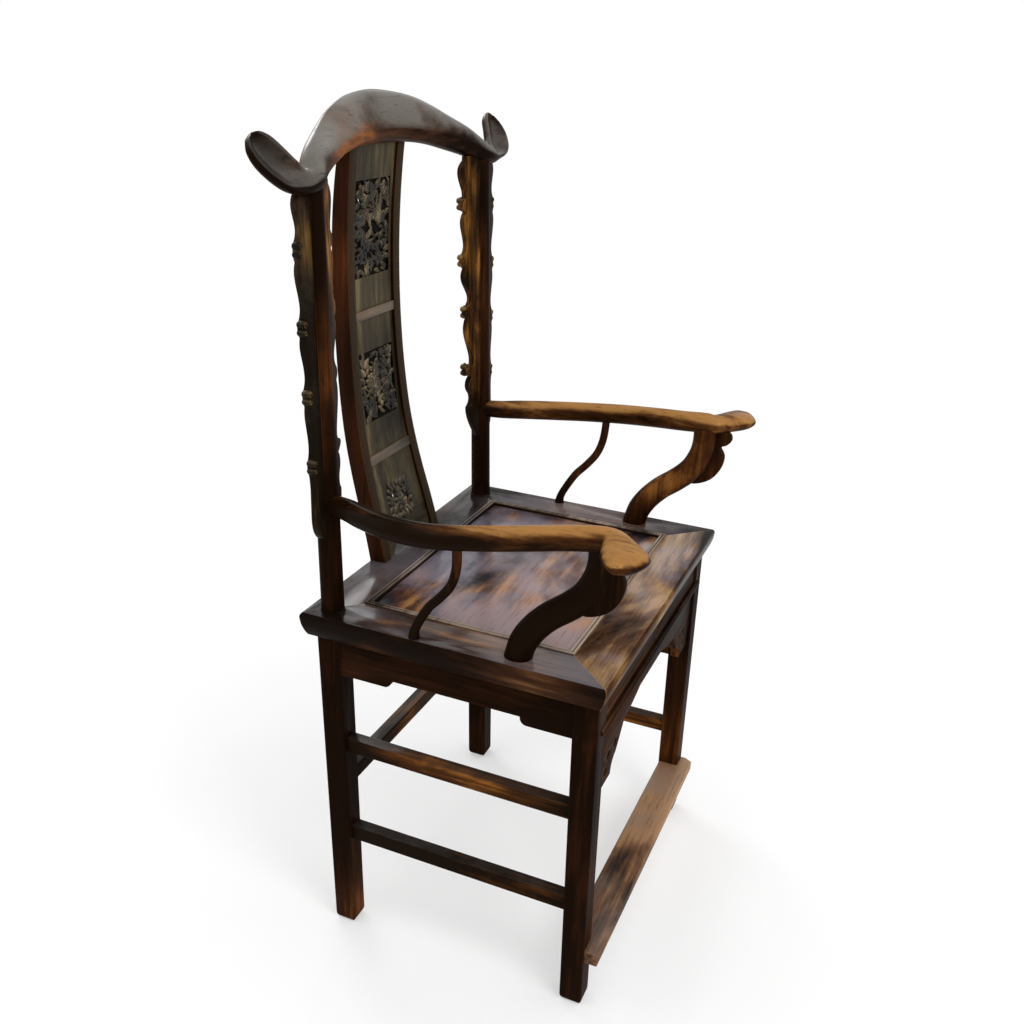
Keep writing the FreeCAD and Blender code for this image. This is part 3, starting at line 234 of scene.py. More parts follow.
class Graph:
    """The node graph of a new material or of the world."""

    def __init__(self, owner: bpy.types.Material | bpy.types.World) -> None:
        """Start with an empty graph.

        Args:
            owner: The material or world that the graph is made for.
        """
        owner.use_nodes = True
        self.tree = owner.node_tree
        self.tree.nodes.clear()

    def node(self, kind: str, settings: dict | None = None,
             inputs: dict | None = None) -> bpy.types.Node:
        """Make a node: its settings first, then the values or links of its sockets.

        Args:
            kind: The node's type.
            settings: Properties of the node.
            inputs: Socket name or number, with a value, a Sock or an output socket.

        Returns:
            The node.
        """
        node = self.tree.nodes.new(kind)
        for key, value in (settings or {}).items():
            setattr(node, key, value)
        for key, value in (inputs or {}).items():
            socket = node.inputs[key]
            if isinstance(value, Sock):
                self.tree.links.new(value.socket, socket)
            elif isinstance(value, bpy.types.NodeSocket):
                self.tree.links.new(value, socket)
            else:
                socket.default_value = value
        return node

    def place(self) -> bpy.types.NodeSocket:
        """Object coordinates."""
        return self.node("ShaderNodeTexCoord").outputs["Object"]

    def stretched(self, scale: Point) -> bpy.types.NodeSocket:
        """Object coordinates, scaled.

        Args:
            scale: Scale along each axis.

        Returns:
            The scaled coordinates.
        """
        mapping = self.node("ShaderNodeMapping", {"vector_type": "POINT"},
                            {"Vector": self.place(), "Scale": scale})
        return mapping.outputs["Vector"]

    def parts(self, vector: bpy.types.NodeSocket) -> list[Sock]:
        """X, Y and Z of a vector."""
        node = self.node("ShaderNodeSeparateXYZ", {}, {0: vector})
        return [Sock(self, output) for output in node.outputs]

    def measure(self, operation: str, *vectors: bpy.types.NodeSocket) -> Sock:
        """Number that a Vector Math node works out from vectors.

        Args:
            operation: What the node does.
            vectors: The vectors that it reads.

        Returns:
            The number.
        """
        node = self.node("ShaderNodeVectorMath", {"operation": operation},
                         dict(enumerate(vectors)))
        return Sock(self, node.outputs["Value"])

    def noise(self, vector: bpy.types.NodeSocket, scale: float, detail: float,
              roughness: float, distortion: float = 0.0) -> Sock:
        """Cloudy noise from 0 to 1 about a half.

        Args:
            vector: Where it is read.
            scale: Clouds in a metre.
            detail: How many finer clouds lie in the broad ones.
            roughness: How strong the finer clouds are.
            distortion: How far the clouds are drawn out of shape.

        Returns:
            The noise.
        """
        node = self.node("ShaderNodeTexNoise", {"noise_dimensions": "3D"},
                         {"Vector": vector, "Scale": scale, "Detail": detail,
                          "Roughness": roughness, "Distortion": distortion})
        return Sock(self, node.outputs["Fac"])

    def blend(self, factor: Sock, first: Colour | bpy.types.NodeSocket,
              second: Colour) -> bpy.types.NodeSocket:
        """Colour between two colours.

        Args:
            factor: Share of the second colour.
            first: The first colour.
            second: The second colour.

        Returns:
            The blended colour.
        """
        node = self.node("ShaderNodeMix", {"data_type": "RGBA", "blend_type": "MIX"},
                         {MIX_FACTOR: factor, MIX_FIRST: first, MIX_SECOND: second})
        return node.outputs[MIX_RESULT]

    def finish(self, shader: bpy.types.Node, output: str = "ShaderNodeOutputMaterial") -> None:
        """Connect the shader to the graph's output."""
        self.node(output, {}, {"Surface": shader.outputs[0]})


@dataclass(frozen=True)
class Lacquer:
    """Dark lacquer worn through to warm wood, most where hands rest and on arrises.

    Over it lies grey dust with painted sheen, and faces that look up are lighter, partly from wear
    and partly from painted top light.

    Args:
        title: Name of the finish.
        deep: Sound lacquer.
        brown: Thin lacquer.
        bare: Wood where the lacquer has gone.
        level: Wear all over, from 0 for none to 1 for bare wood.
        upward: Lightening added on faces that look up, partly wear and partly painted top light.
        inward: Wear added on faces that look to the middle of the chair.
        forward: Wear added towards the front of the chair.
        patches: Strength of the broad worn patches.
        streaks: Strength of the streaks along the grain.
        arrises: Wear added on arrises.
        haze: Share of grey dust with painted sheen.
        haze_tone: Colour of that dust and painted sheen.
        haze_faces: Heights of the normal between which the grey dust and painted sheen begin.
        haze_reach: Distances from the chair's middle plane between which the dust and painted
            sheen fade.
        haze_even: How evenly the dust and painted sheen lie.
        haze_front: Painted sheen on faces that look to the front.
        roughness: Roughness of sound lacquer.
        coat: Weight of the gloss on faces that look up.
        cloud: Size of the worn patches, as the scale of their noise.
        specular: Level of the shine all over.
        looks_up: Heights of the normal between which a face counts as looking up.
    """

    title: str
    deep: str
    brown: str
    bare: str
    level: float = 0.18
    upward: float = 0.15
    inward: float = 0.0
    forward: float = 0.0
    patches: float = 1.3
    streaks: float = 0.8
    arrises: float = 0.6
    haze: float = 0.0
    haze_tone: str = "3d3632"
    haze_faces: Share = (-3.0, -2.0)
    haze_reach: Share = (2.0, 3.0)
    haze_even: float = 0.35
    haze_front: float = 0.0
    roughness: float = 0.46
    coat: float = 0.35
    cloud: float = 11.0
    specular: float = 0.02
    looks_up: Share = (0.55, 0.92)

    def wear(self, graph: Graph, grain: Grain, rounded: bpy.types.NodeSocket,
             normal: bpy.types.NodeSocket, upward: Sock) -> tuple[Sock, Sock, Sock]:
        """How far the lacquer has gone at each point.

        Args:
            graph: The material's graph.
            grain: Which way the timber runs.
            rounded: Normal of rounded arrises.
            normal: Normal of the surface.
            upward: How far it looks up.

        Returns:
            The wear, the streaks and the patches.
        """
        streak = graph.noise(graph.stretched(grain.value), STREAK_SCALE, *STREAK_NOISE)
        blot = graph.stretched(tuple(PATCH_BREADTH + (1 - PATCH_BREADTH) * part
                                     for part in grain.value))
        patch = graph.noise(blot, self.cloud, *PATCH_NOISE, PATCH_DISTORTION)
        broad = graph.noise(graph.place(), self.cloud / BROADER, *BROAD_NOISE)
        across, backward, _ = graph.parts(graph.place())
        inward = -(graph.parts(normal)[0] * across.sign())
        arris = (1 - graph.measure("DOT_PRODUCT", rounded, normal)).step(ARRIS_SPAN)
        # Faces that look up are painted lighter: partly wear, partly painted top light
        wear = (self.level + upward * self.upward + inward.step(INWARD_SPAN) * self.inward
                + (-backward).step(FRONT_SPAN) * self.forward
                + patch.centred() * self.patches + broad.centred() * self.patches
                + streak.centred() * self.streaks + arris * (patch * (2 * self.arrises)))
        return wear, streak, patch

    def bloom(self, graph: Graph, normal: bpy.types.NodeSocket, upward: Sock) -> Sock:
        """Share of grey dust with painted sheen at each point.

        Args:
            graph: The material's graph.
            normal: Normal of the surface.
            upward: How far it looks up.

        Returns:
            The share.
        """
        cloud = graph.noise(graph.place(), self.cloud * DUST_SHEEN_SCALE, *DUST_SHEEN_NOISE)
        # Grey dust in clouds, with more painted sheen on faces that look up
        cover = cloud.centred() * DUST_SHEEN_CONTRAST + upward * DUST_SHEEN_UPWARD + self.haze_even
        across = graph.parts(graph.place())[0]
        _, backward, height = graph.parts(normal)
        fading = 1 - abs(across).step(self.haze_reach) * DUST_SHEEN_FADE
        share = cover.step(DUST_SHEEN_SPAN) * height.step(self.haze_faces) * fading * self.haze
        # Painted sheen on faces that look to the front
        return share.most((-backward).step(AHEAD_SPAN) * self.haze_front)

    def material(self, grain: Grain) -> bpy.types.Material:
        """Material with the grain along one axis.

        Args:
            grain: Which way the timber runs.

        Returns:
            The material.
        """
        made = bpy.data.materials.new(self.title + "_" + grain.name.lower())
        graph = Graph(made)
        normal = graph.node("ShaderNodeNewGeometry").outputs["Normal"]
        rounded = graph.node("ShaderNodeBevel", {"samples": ARRIS_SAMPLES},
                             {"Radius": ARRIS_RADIUS}).outputs[0]
        # How far a face looks up: it drives painted top light, painted sheen and the coat
        upward = graph.parts(normal)[2].step(self.looks_up)
        wear, streak, patch = self.wear(graph, grain, rounded, normal, upward)
        pores = graph.noise(graph.stretched(grain.value), PORE_SCALE, *BROAD_NOISE)
        colour = graph.blend(wear.step(THIN_SPAN), tone(self.deep), tone(self.brown))
        colour = graph.blend(wear.step(BARE_SPAN), colour, tone(self.bare))
        # Grey dust with painted sheen laid over the lacquer
        bloom = self.bloom(graph, normal, upward)
        colour = graph.blend(bloom, colour, tone(self.haze_tone))
        colour = graph.blend(pores.step(PORE_SPAN) * PORE_STRENGTH, colour, tone(self.deep))
        rough = (self.roughness + patch.centred() * PATCH_ROUGHNESS
                 + streak.centred() * STREAK_ROUGHNESS)
        relief = streak * STREAK_RELIEF + pores * PORE_RELIEF + patch * PATCH_RELIEF
        bump = graph.node("ShaderNodeBump", {}, {
            "Strength": RELIEF_STRENGTH, "Distance": RELIEF_DEPTH, "Height": relief,
            "Normal": rounded})
        shader = graph.node("ShaderNodeBsdfPrincipled", {}, {
            "Base Color": colour, "Roughness": rough, "Normal": bump.outputs[0],
            "Coat Weight": upward * (patch.step(GLOSS_SPAN) * self.coat),
            "Coat Roughness": COAT_ROUGHNESS, "Specular IOR Level": self.specular})
        graph.finish(shader)
        return made


FINISHES = {finish.title: finish for finish in (
    # Crest: the grey on its faces that look forward and up is painted sheen, fading towards the
    # horns, and its under roll is left dark as painted shade
    Lacquer("crest_lacquer", "150b06", "432a1c", "8f562c", level=0.24, upward=0.10, patches=1.7,
            arrises=0.5, haze=0.92, haze_tone="66625b", haze_faces=(0.08, 0.46),
            haze_reach=(0.235, 0.34), haze_even=0.60, roughness=0.32, coat=0.85,
            specular=0.012, looks_up=(0.3, 0.75)),
    Lacquer("frame_lacquer", "150a04", "2f190b", "77431d", level=0.20, inward=0.08, patches=1.6,
            streaks=0.9, specular=0.012),
    # Arms: tops lighter, partly wear where hands rest and partly painted top light; undersides
    # left dark as painted shade
    Lacquer("arm_lacquer", "180d05", "472811", "a1733f", level=-0.24, upward=0.72, inward=0.24,
            forward=0.42, patches=2.1, streaks=1.0, arrises=0.1, roughness=0.38, coat=0.25,
            looks_up=(0.1, 0.9)),
    Lacquer("post_lacquer", "170c05", "41230f", "905c2c", level=-0.02, upward=0.12, inward=0.32,
            patches=2.7, streaks=0.9, arrises=0.1, roughness=0.38, specular=0.015),
    # Knots: painted lighter on faces that look up, as painted top light
    Lacquer("knot_lacquer", "151008", "3c2f1c", "856434", level=0.02, upward=0.26, inward=0.40,
            patches=1.4, streaks=0.6, haze=0.1, specular=0.05, looks_up=(0.0, 0.8)),
    Lacquer("strip_lacquer", "140d06", "332312", "644a26", level=0.08, inward=0.30, patches=2.4,
            streaks=1.8, arrises=0.35, haze=0.2, haze_tone="554d40", cloud=17.0, specular=0.03),
    Lacquer("inner_strip_lacquer", "170d05", "42280f", "8a5c24", level=0.23, inward=0.16,
            patches=2.8, streaks=1.9, arrises=0.35, cloud=17.0),
    # Splat frame: the grey on its front faces is painted sheen
    Lacquer("splat_frame_lacquer", "1b0d05", "371b0c", "7c441d", level=0.22, patches=1.0,
            streaks=0.6, arrises=0.45, haze_tone="383023", haze_front=0.6),
    Lacquer("bar_lacquer", "2a2119", "5d5144", "94704f", level=0.46, arrises=0.5, haze=0.2,
            haze_tone="6f675f", specular=0.2),
    Lacquer("splat_board_lacquer", "1c160d", "3d3523", "6b5f42", level=0.46, patches=2.2,
            streaks=1.1, arrises=0.3, haze=0.1, haze_tone="706650", roughness=0.5,
            specular=0.10),
    # Seat: the grey and lavender on its top faces is painted sheen, a painted reflection of the
    # pale surroundings
    Lacquer("seat_lacquer", "150d08", "3a2316", "9a6c44", level=0.20, upward=0.14, patches=2.8,
            streaks=0.7, arrises=0.5, haze=0.5, haze_tone="6d676c", haze_faces=(0.7, 0.95),
            roughness=0.34, coat=0.7, cloud=7.0, specular=0.01, looks_up=(0.8, 0.97)),
    Lacquer("seat_front_lacquer", "1a1009", "50331d", "b58c55", level=0.62, upward=0.16,
            patches=3.0, arrises=0.7, haze=0.5, haze_tone="807a86", haze_faces=(0.7, 0.95),
            haze_even=0.15, roughness=0.34, coat=0.6, cloud=9.0, specular=0.01,
            looks_up=(0.8, 0.97)),
    Lacquer("seat_board_lacquer", "17141a", "523526", "a9774b", level=0.44, upward=0.0,
            patches=3.8, haze=0.66, haze_tone="85808f", roughness=0.34, coat=0.7,
            specular=0.05),
    Lacquer("front_board_lacquer", "140a04", "341c0d", "7d4a22", level=0.36, inward=0.25,
            patches=1.8, arrises=1.4, haze=0.12, specular=0.008),
    # Rails: the grey on their top faces is painted sheen
    Lacquer("rail_lacquer", "170d05", "41250f", "935c26", level=0.34, upward=0.0, inward=0.1,
            patches=2.4, streaks=1.5, haze=0.35, haze_tone="4a4541", haze_faces=(0.5, 0.9),
            coat=0.5),
    Lacquer("footrest_wood", "2c2019", "66462f", "a27953", level=0.48, patches=3.2, streaks=1.6,
            haze=0.5, haze_tone="6f6a68", haze_even=0.15, roughness=0.5, coat=0.15, cloud=9.0,
            specular=0.08),
    # Beads: lighter than the frame, partly wear and partly a painted highlight along them
    Lacquer("bead_lacquer", "1d1611", "54463a", "9b8876", level=0.50, upward=0.25, patches=2.4,
            arrises=0.0, haze=0.3, haze_tone="8c848a", roughness=0.36, coat=0.6,
            specular=0.1),
    # Floor of the carved fields: near black, painted shade in the recesses and pierced holes
    Lacquer("carving_ground", "080604", "130f0a", "1f1911", arrises=0.0, haze=0.12, coat=0.0),
    # Carved leaves: painted lighter on faces that look up, as painted top light
    Lacquer("carving_leaf", "120d07", "352b1c", "7c6d50", level=0.24, upward=0.55, patches=2.8,
            arrises=0.4, haze=0.15, haze_tone="5e5546", cloud=60.0, specular=0.2,
            looks_up=(0.05, 0.8)),
)}

# Nodes whose finish isn't the one of their slot
SPECIAL = {"splat_upper_bar": "bar_lacquer", "splat_lower_bar": "bar_lacquer",
           "seat_frame_front": "seat_front_lacquer",
           "inner_post_strip_left": "inner_strip_lacquer",
           "inner_post_strip_right": "inner_strip_lacquer"}


class Palette:
    """Materials by finish and grain, each made once."""

    def __init__(self) -> None:
        """Start empty."""
        self.made: dict[tuple[str, Grain], bpy.types.Material] = {}

    def get(self, finish: str, grain: Grain) -> bpy.types.Material:
        """Material of a finish with its grain along an axis.

        Args:
            finish: Name of the finish.
            grain: Which way the timber runs.

        Returns:
            The material.
        """
        if (finish, grain) not in self.made:
            self.made[(finish, grain)] = FINISHES[finish].material(grain)
        return self.made[(finish, grain)]


def curve_through(points: Sequence[Vector], steps: int, closed: bool = False) -> list[Vector]:
    """Points on a smooth curve through given points.

    Args:
        points: Points that the curve meets.
        steps: How many parts each span has.
        closed: Whether the curve runs round to its start.

    Returns:
        Points along the curve.
    """
    count = len(points)
    found = []
    for span in range(count if closed else count - 1):
        places = [span + offset for offset in (-1, 0, 1, 2)]
        if closed:
            four = [points[index % count] for index in places]
        else:
            four = [points[max(0, min(count - 1, index))] for index in places]
        before, start, end, after = four
        for step in range(steps):
            t = step / steps
            found.append(0.5 * (2 * start + (end - before) * t
                                + (2 * before - 5 * start + 4 * end - after) * t * t
                                + (3 * start - before - 3 * end + after) * t * t * t))
    if not closed:
        found.append(points[-1].copy())
    return found


def arcs_through(points: Sequence[Vector], steps: int) -> list[Vector]:
    """Closed ring of arcs, each through three points, with its corners rounded a little.

    Args:
        points: Points of the ring; every second one is where two arcs meet.
        steps: How many parts each half arc has.

    Returns:
        Points round the ring.
    """
    straight = 1e-12
    shares = [step / (2 * steps) for step in range(2 * steps)]
    found = []
    for index in range(0, len(points), 2):
        start, middle, end = (points[(index + offset) % len(points)] for offset in (0, 1, 2))
        first, second = middle - start, end - start
        normal = first.cross(second)
        if normal.length < straight:
            found += [start.lerp(end, share) for share in shares]
            continue
        centre = start + (second.length_squared * normal.cross(first)
                          + first.length_squared * second.cross(normal)) / (
                              2 * normal.length_squared)
        angle = (start - centre).angle(middle - centre) + (middle - centre).angle(end - centre)
        for share in shares:
            turn = Matrix.Rotation(angle * share, 3, normal.normalized())
            found.append(centre + turn @ (start - centre))
    return [(found[index - 1] + 2 * found[index] + found[(index + 1) % len(found)]) / 4
            for index in range(len(found))]


ROUND_SHARES: tuple[Share, ...] = tuple(
    (math.cos(math.pi * turn / 4), math.sin(math.pi * turn / 4)) for turn in range(8))


def section(centre: Vector, first: Vector, second: Vector, first_half: float,
            second_half: float, shares: Sequence[Share] = ROUND_SHARES) -> list[Vector]:
    """Smooth ring through points given as shares of two half sizes.

    Args:
        centre: Middle of the ring.
        first: Direction of the first half size.
        second: Direction of the second half size.
        first_half: First half size.
        second_half: Second half size.
        shares: Places of the points, as shares of the half sizes.

    Returns:
        Points round the ring.
    """
    corners = [centre + first * (first_half * one) + second * (second_half * two)
               for one, two in shares]
    return arcs_through(corners, SECTION_STEPS)


def between(rings: Sequence[Sequence[Vector]], steps: int) -> list[list[Vector]]:
    """More rings between given rings, on a smooth curve through each ring's points."""
    tracks = [curve_through(track, steps) for track in zip(*rings)]
    return [list(ring) for ring in zip(*tracks)]


def directions(points: Sequence[Vector]) -> list[Vector]:
    """Direction of a smooth curve at each of its points.

    Args:
        points: Points along the curve.

    Returns:
        A direction of length 1 for each point.
    """
    before = [points[0], *points[:-1]]
    after = [*points[1:], points[-1]]
    return [(end - start).normalized() for start, end in zip(before, after)]


@dataclass
class Surface:
    """Front of a splat board as a surface: u runs across it, v is the height."""

    depth: float = 0.0
    foot_y: float = 0.1985
    lean: float = 0.0685
    height: float = 0.600
    steps: int = 6
    curve: tuple[Share, ...] = (
        (0.00, 0.00), (0.12, 0.285), (0.25, 0.60), (0.38, 0.81), (0.58, 0.98), (0.78, 1.03),
        (1.00, 0.94))

    def __post_init__(self) -> None:
        """Work out the splat's curve as short spans."""
        line = curve_through([Vector((rise, lean, 0)) for rise, lean in self.curve], self.steps)
        self.spans = list(zip(line, line[1:]))

    def at(self, u: float, v: float, lift: float) -> Vector:
        """Point on the surface, lifted off it towards the front.

        Args:
            u: Place across the splat.
            v: Height above the floor.
            lift: Distance off the surface.

        Returns:
            The point.
        """
        share = (v - SEAT_TOP) / self.height
        low, high = next((span for span in self.spans if share <= span[1].x), self.spans[-1])
        lean = low.y + (high.y - low.y) * (share - low.x) / (high.x - low.x)
        return place(u, self.foot_y + self.lean * lean + self.depth - lift, v)


class Workpiece:
    """A bmesh being shaped, which ends as a finished object on the chair's body."""

    leaf_rings = (8, 6)
    vein_half_width = 0.2
    vein_depth = 0.62
    leaf_belly = 1.25
    leaf_point = 0.5
    leaf_swell = 0.35
    curl_sides = 10
    curl_steps = 12

    def __init__(self, title: str) -> None:
        """Start an empty mesh."""
        self.title = title
        self.mesh = bmesh.new()

    def ring(self, points: Sequence[Vector]) -> list[bmesh.types.BMEdge]:
        """Closed ring of edges through points, made from a circle.

        Args:
            points: Points round the ring.

        Returns:
            The ring's edges.
        """
        made = bmesh.ops.create_circle(self.mesh, cap_ends=False, segments=len(points), radius=1)
        for vertex, point in zip(made["verts"], points):
            vertex.co = point
        return list({edge for vertex in made["verts"] for edge in vertex.link_edges})

    def loft(self, rings: Sequence[Sequence[Vector]]) -> None:
        """Skin through rings of points, capped at both ends.

        Args:
            rings: Rings with the same count of points.
        """
        loops = [self.ring(points) for points in rings]
        for first, second in zip(loops, loops[1:]):
            bmesh.ops.bridge_loops(self.mesh, edges=first + second)
        for loop in (loops[0], loops[-1]):
            bmesh.ops.contextual_create(self.mesh, geom=loop)

    def board(self, outline: Sequence[Vector], depth: Vector) -> None:
        """Flat board: an outline extruded by its thickness.

        Args:
            outline: Points round the board.
            depth: Direction and length of the thickness.
        """
        made = bmesh.ops.contextual_create(self.mesh, geom=self.ring(outline))
        pulled = bmesh.ops.extrude_face_region(self.mesh, geom=made["faces"])
        verts = [part for part in pulled["geom"] if isinstance(part, bmesh.types.BMVert)]
        bmesh.ops.translate(self.mesh, verts=verts, vec=depth)

    def soften(self, width: float, segments: int = 2) -> None:
        """Bevel the sharp edges.

        Args:
            width: Width of the bevel.
            segments: Faces across the bevel.
        """
        bmesh.ops.recalc_face_normals(self.mesh, faces=self.mesh.faces)
        sharp = [edge for edge in self.mesh.edges
                 if len(edge.link_faces) == 2 and edge.calc_face_angle(0) > JOINER_ANGLE]
        bmesh.ops.bevel(self.mesh, geom=sharp, offset=width, segments=segments, affect="EDGES",
                        profile=0.5, material=-1, clamp_overlap=True)

    def leaf(self, surface: Surface, u: float, v: float, slope: float, size: Point,
             bend: float = 0.0) -> None:
        """Carved leaf on a surface: a flattened ball with a vein, bent along its length.

        Args:
            surface: The surface that it lies on.
            u: Its middle across the surface.
            v: Its middle up the surface.
            slope: Angle of its length from the horizontal.
            size: Length, width and height.
            bend: How far its middle bows to the side, as a share of its length.
        """
        length, width, height = size
        sides, rows = self.leaf_rings
        ball = bmesh.ops.create_uvsphere(self.mesh, u_segments=sides, v_segments=rows, radius=1)
        cos, sin = math.cos(slope), math.sin(slope)
        for vertex in ball["verts"]:
            side, lift, run = vertex.co
            if lift > 0 and abs(side) < self.vein_half_width:
                lift *= self.vein_depth
            point = self.leaf_belly - self.leaf_point * abs(run)
            along = run * length / 2
            across = (side * width / 2 * point * (1 + self.leaf_swell * run)
                      + bend * length * (1 - run * run))
            vertex.co = surface.at(u + along * cos - across * sin,
                                   v + along * sin + across * cos, lift * height)

    def curl(self, centre: Vector, axis: Vector, start: Vector, ring: float, tube: float,
             half_thickness: float, sweep: float) -> None:
        """Rolled scroll: an oval swept round an axis.

        Args:
            centre: Middle of the scroll.
            axis: Axis of the roll.
            start: Direction from the middle in which it starts.
            ring: Radius of the roll.
            tube: Half width of the oval across the roll.
            half_thickness: Half width of the oval along the axis.
            sweep: Angle of the roll.
        """
        made = bmesh.ops.create_circle(self.mesh, cap_ends=True, segments=self.curl_sides,
                                       radius=1)
        for vertex in made["verts"]:
            first, second = vertex.co.x, vertex.co.y
            vertex.co = centre + start * (ring + first * tube) + axis * (second * half_thickness)
        faces = {face for vertex in made["verts"] for face in vertex.link_faces}
        bmesh.ops.spin(self.mesh, geom=list(faces), cent=centre, axis=axis, angle=sweep,
                       steps=self.curl_steps)

    def done(self, nodes: Iterable[str], slot: str, material: bpy.types.Material,
             smooth_angle: float = JOINER_ANGLE,
             second: bpy.types.Material | None = None) -> None:
        """Finish the object: faces outwards, smooth shading, body and the nodes it stands for.

        Args:
            nodes: CAD nodes that it replaces.
            slot: The record's material slot; not used.
            material: Its material.
            smooth_angle: Edges sharper than this angle stay sharp.
            second: Material of the faces that were given the second place.
        """
        bmesh.ops.recalc_face_normals(self.mesh, faces=self.mesh.faces)
        for face in self.mesh.faces:
            face.smooth = True
        for edge in self.mesh.edges:
            edge.smooth = len(edge.link_faces) == 2 and edge.calc_face_angle(0) < smooth_angle
        data = bpy.data.meshes.new(self.title)
        self.mesh.to_mesh(data)
        self.mesh.free()
        thing = bpy.data.objects.new(self.title, data)
        bpy.context.scene.collection.objects.link(thing)
        data.materials.append(material)
        if second is not None:
            data.materials.append(second)
        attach(thing, ROOT)
        names = list(nodes)
        if names:
            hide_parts(*names)
        log.info("%s: %d faces", self.title, len(data.polygons))


class CadCopy(Workpiece):
    """A copy of a CAD node, merged so that its arrises can be eased."""

    touching = 1e-6
    flat_angle = 0.01
    foot_cuts = (1.0, 0.6, 0.3, 0.1)

    def __init__(self, node: str) -> None:
        """Copy the node's mesh.

        Args:
            node: Name of the node.
        """
        super().__init__(node + "_timber")
        self.mesh.from_mesh(frame["nodes"][node].data)
        bmesh.ops.remove_doubles(self.mesh, verts=self.mesh.verts, dist=self.touching)
        bmesh.ops.dissolve_limit(self.mesh, angle_limit=self.flat_angle, verts=self.mesh.verts,
                                 edges=self.mesh.edges)

    def round_foot(self, radius: float) -> None:
        """Round the edges of the lowest face, as a foot wears on a floor.

        Args:
            radius: Radius of the rounding.
        """
        lowest = min(vertex.co.z for vertex in self.mesh.verts)
        for share in self.foot_cuts:
            everything = [*self.mesh.verts, *self.mesh.edges, *self.mesh.faces]
            bmesh.ops.bisect_plane(self.mesh, geom=everything, dist=self.touching,
                                   plane_co=(0, 0, lowest + radius * share), plane_no=UP)
        foot = [vertex for vertex in self.mesh.verts if vertex.co.z < lowest + radius]
        middle = sum((vertex.co for vertex in foot), Vector()) / len(foot)
        for vertex in foot:
            fall = 1 - (vertex.co.z - lowest) / radius
            inset = radius * (1 - math.sqrt(1 - fall * fall))
            inwards = Vector((middle.x - vertex.co.x, middle.y - vertex.co.y, 0))
            vertex.co += inwards.normalized() * inset


@dataclass
class CrestRail:
    """Yoke-shaped top rail with its headrest and two scooped horns.

    A station of the rail gives shares of its spread, bow, fall and change of size from the
    middle to the neck, and the weight of the headrest's section. A station of a horn gives
    shares of its reach, back sweep, rise, width and thickness, and the weight of its scoop.
    """

    palette: Palette
    top: float = 1.203
    half_height: float = 0.0375
    half_depth: float = 0.021
    middle_y: float = 0.267
    neck_y: float = 0.210
    neck_height: float = 1.1035
    neck_half_height: float = 0.0155
    neck_half_depth: float = 0.0175
    neck_spread: float = 0.256
    horn_reach: float = 0.090
    horn_rise: float = 0.052
    horn_back: float = 0.027
    horn_half_width: float = 0.030
    horn_half_thickness: float = 0.0145
    horn_lean: float = 32.0
    headrest: tuple[Share, ...] = (
        (1.00, -0.25), (0.32, 0.42), (-0.42, 1.00), (-0.84, 0.78),
        (-1.00, 0.00), (-0.72, -0.86), (-0.05, -1.00), (0.62, -0.78))
    scoop: tuple[Share, ...] = (
        (0.95, 0.56), (0.00, -0.22), (-0.95, 0.56), (-0.95, -0.20),
        (-0.70, -0.70), (0.00, -1.00), (0.70, -0.70), (0.98, -0.15))
    stations: Stations = (
        (0.00, 0.00, 0.00, 0.00, 1.00), (0.24, 0.07, 0.04, 0.09, 1.00),
        (0.40, 0.21, 0.12, 0.19, 0.95), (0.55, 0.34, 0.26, 0.32, 0.80),
        (0.70, 0.51, 0.46, 0.48, 0.55), (0.84, 0.70, 0.66, 0.63, 0.30),
        (0.93, 0.85, 0.84, 0.80, 0.12), (1.00, 1.00, 1.00, 1.00, 0.00))
    horn_stations: Stations = (
        (0.20, -0.12, -0.05, 0.53, 1.10, 0.15), (0.40, -0.08, 0.06, 0.72, 1.04, 0.55),
        (0.58, 0.06, 0.22, 0.92, 1.00, 0.90), (0.74, 0.28, 0.43, 1.00, 0.96, 1.00),
        (0.87, 0.60, 0.68, 0.97, 0.90, 1.00), (0.96, 0.86, 0.88, 0.72, 0.72, 0.90),
        (1.01, 0.99, 0.99, 0.30, 0.34, 0.40))

    def half(self) -> list[tuple]:
        """Stations from the middle to the tip of the left horn.

        Returns:
            Centre, half height, half depth, lean and section of each.
        """
        found = []
        middle = self.top - self.half_height
        for spread, bow, fall, change, head in self.stations:
            centre = place(self.neck_spread * spread,
                           self.middle_y + (self.neck_y - self.middle_y) * bow,
                           middle + (self.neck_height - middle) * fall)
            high = self.half_height + (self.neck_half_height - self.half_height) * change
            deep = self.half_depth + (self.neck_half_depth - self.half_depth) * change
            found.append((centre, high, deep, 0.0, self.mixed(self.headrest, head)))
        for reach, back, rise, width, thickness, scoop in self.horn_stations:
            centre = place(self.neck_spread + self.horn_reach * reach,
                           self.neck_y + self.horn_back * back,
                           self.neck_height + self.horn_rise * rise)
            found.append((centre, self.horn_half_width * width,
                          self.horn_half_thickness * thickness, self.horn_lean * scoop,
                          self.mixed(self.scoop, scoop)))
        return found

    def mixed(self, shares: tuple[Share, ...], weight: float) -> list[Share]:
        """Section between a round one and another."""
        return [(a + (c - a) * weight, b + (d - b) * weight)
                for (a, b), (c, d) in zip(ROUND_SHARES, shares)]

    def build(self) -> None:
        """Make the rail."""
        half = self.half()
        other = [(Vector((-c.x, c.y, c.z)), *rest) for c, *rest in reversed(half[1:])]
        stations = other + half
        rings = []
        for station, along in zip(stations, directions([centre for centre, *_ in stations])):
            centre, high, deep, lean, shares = station
            angle = math.radians(lean)
            front = Vector((0, -math.cos(angle), math.sin(angle)))
            front = (front - along * front.dot(along)).normalized()
            up = front.cross(along).normalized()
            rings.append(section(centre, up, front, high, deep, shares))
        piece = Workpiece("crest_rail")
        piece.loft(between(rings, RAIL_STEPS))
        piece.done(["crest_rail"], "crest_lacquer",
                   self.palette.get("crest_lacquer", Grain.ACROSS), CARVER_ANGLE)


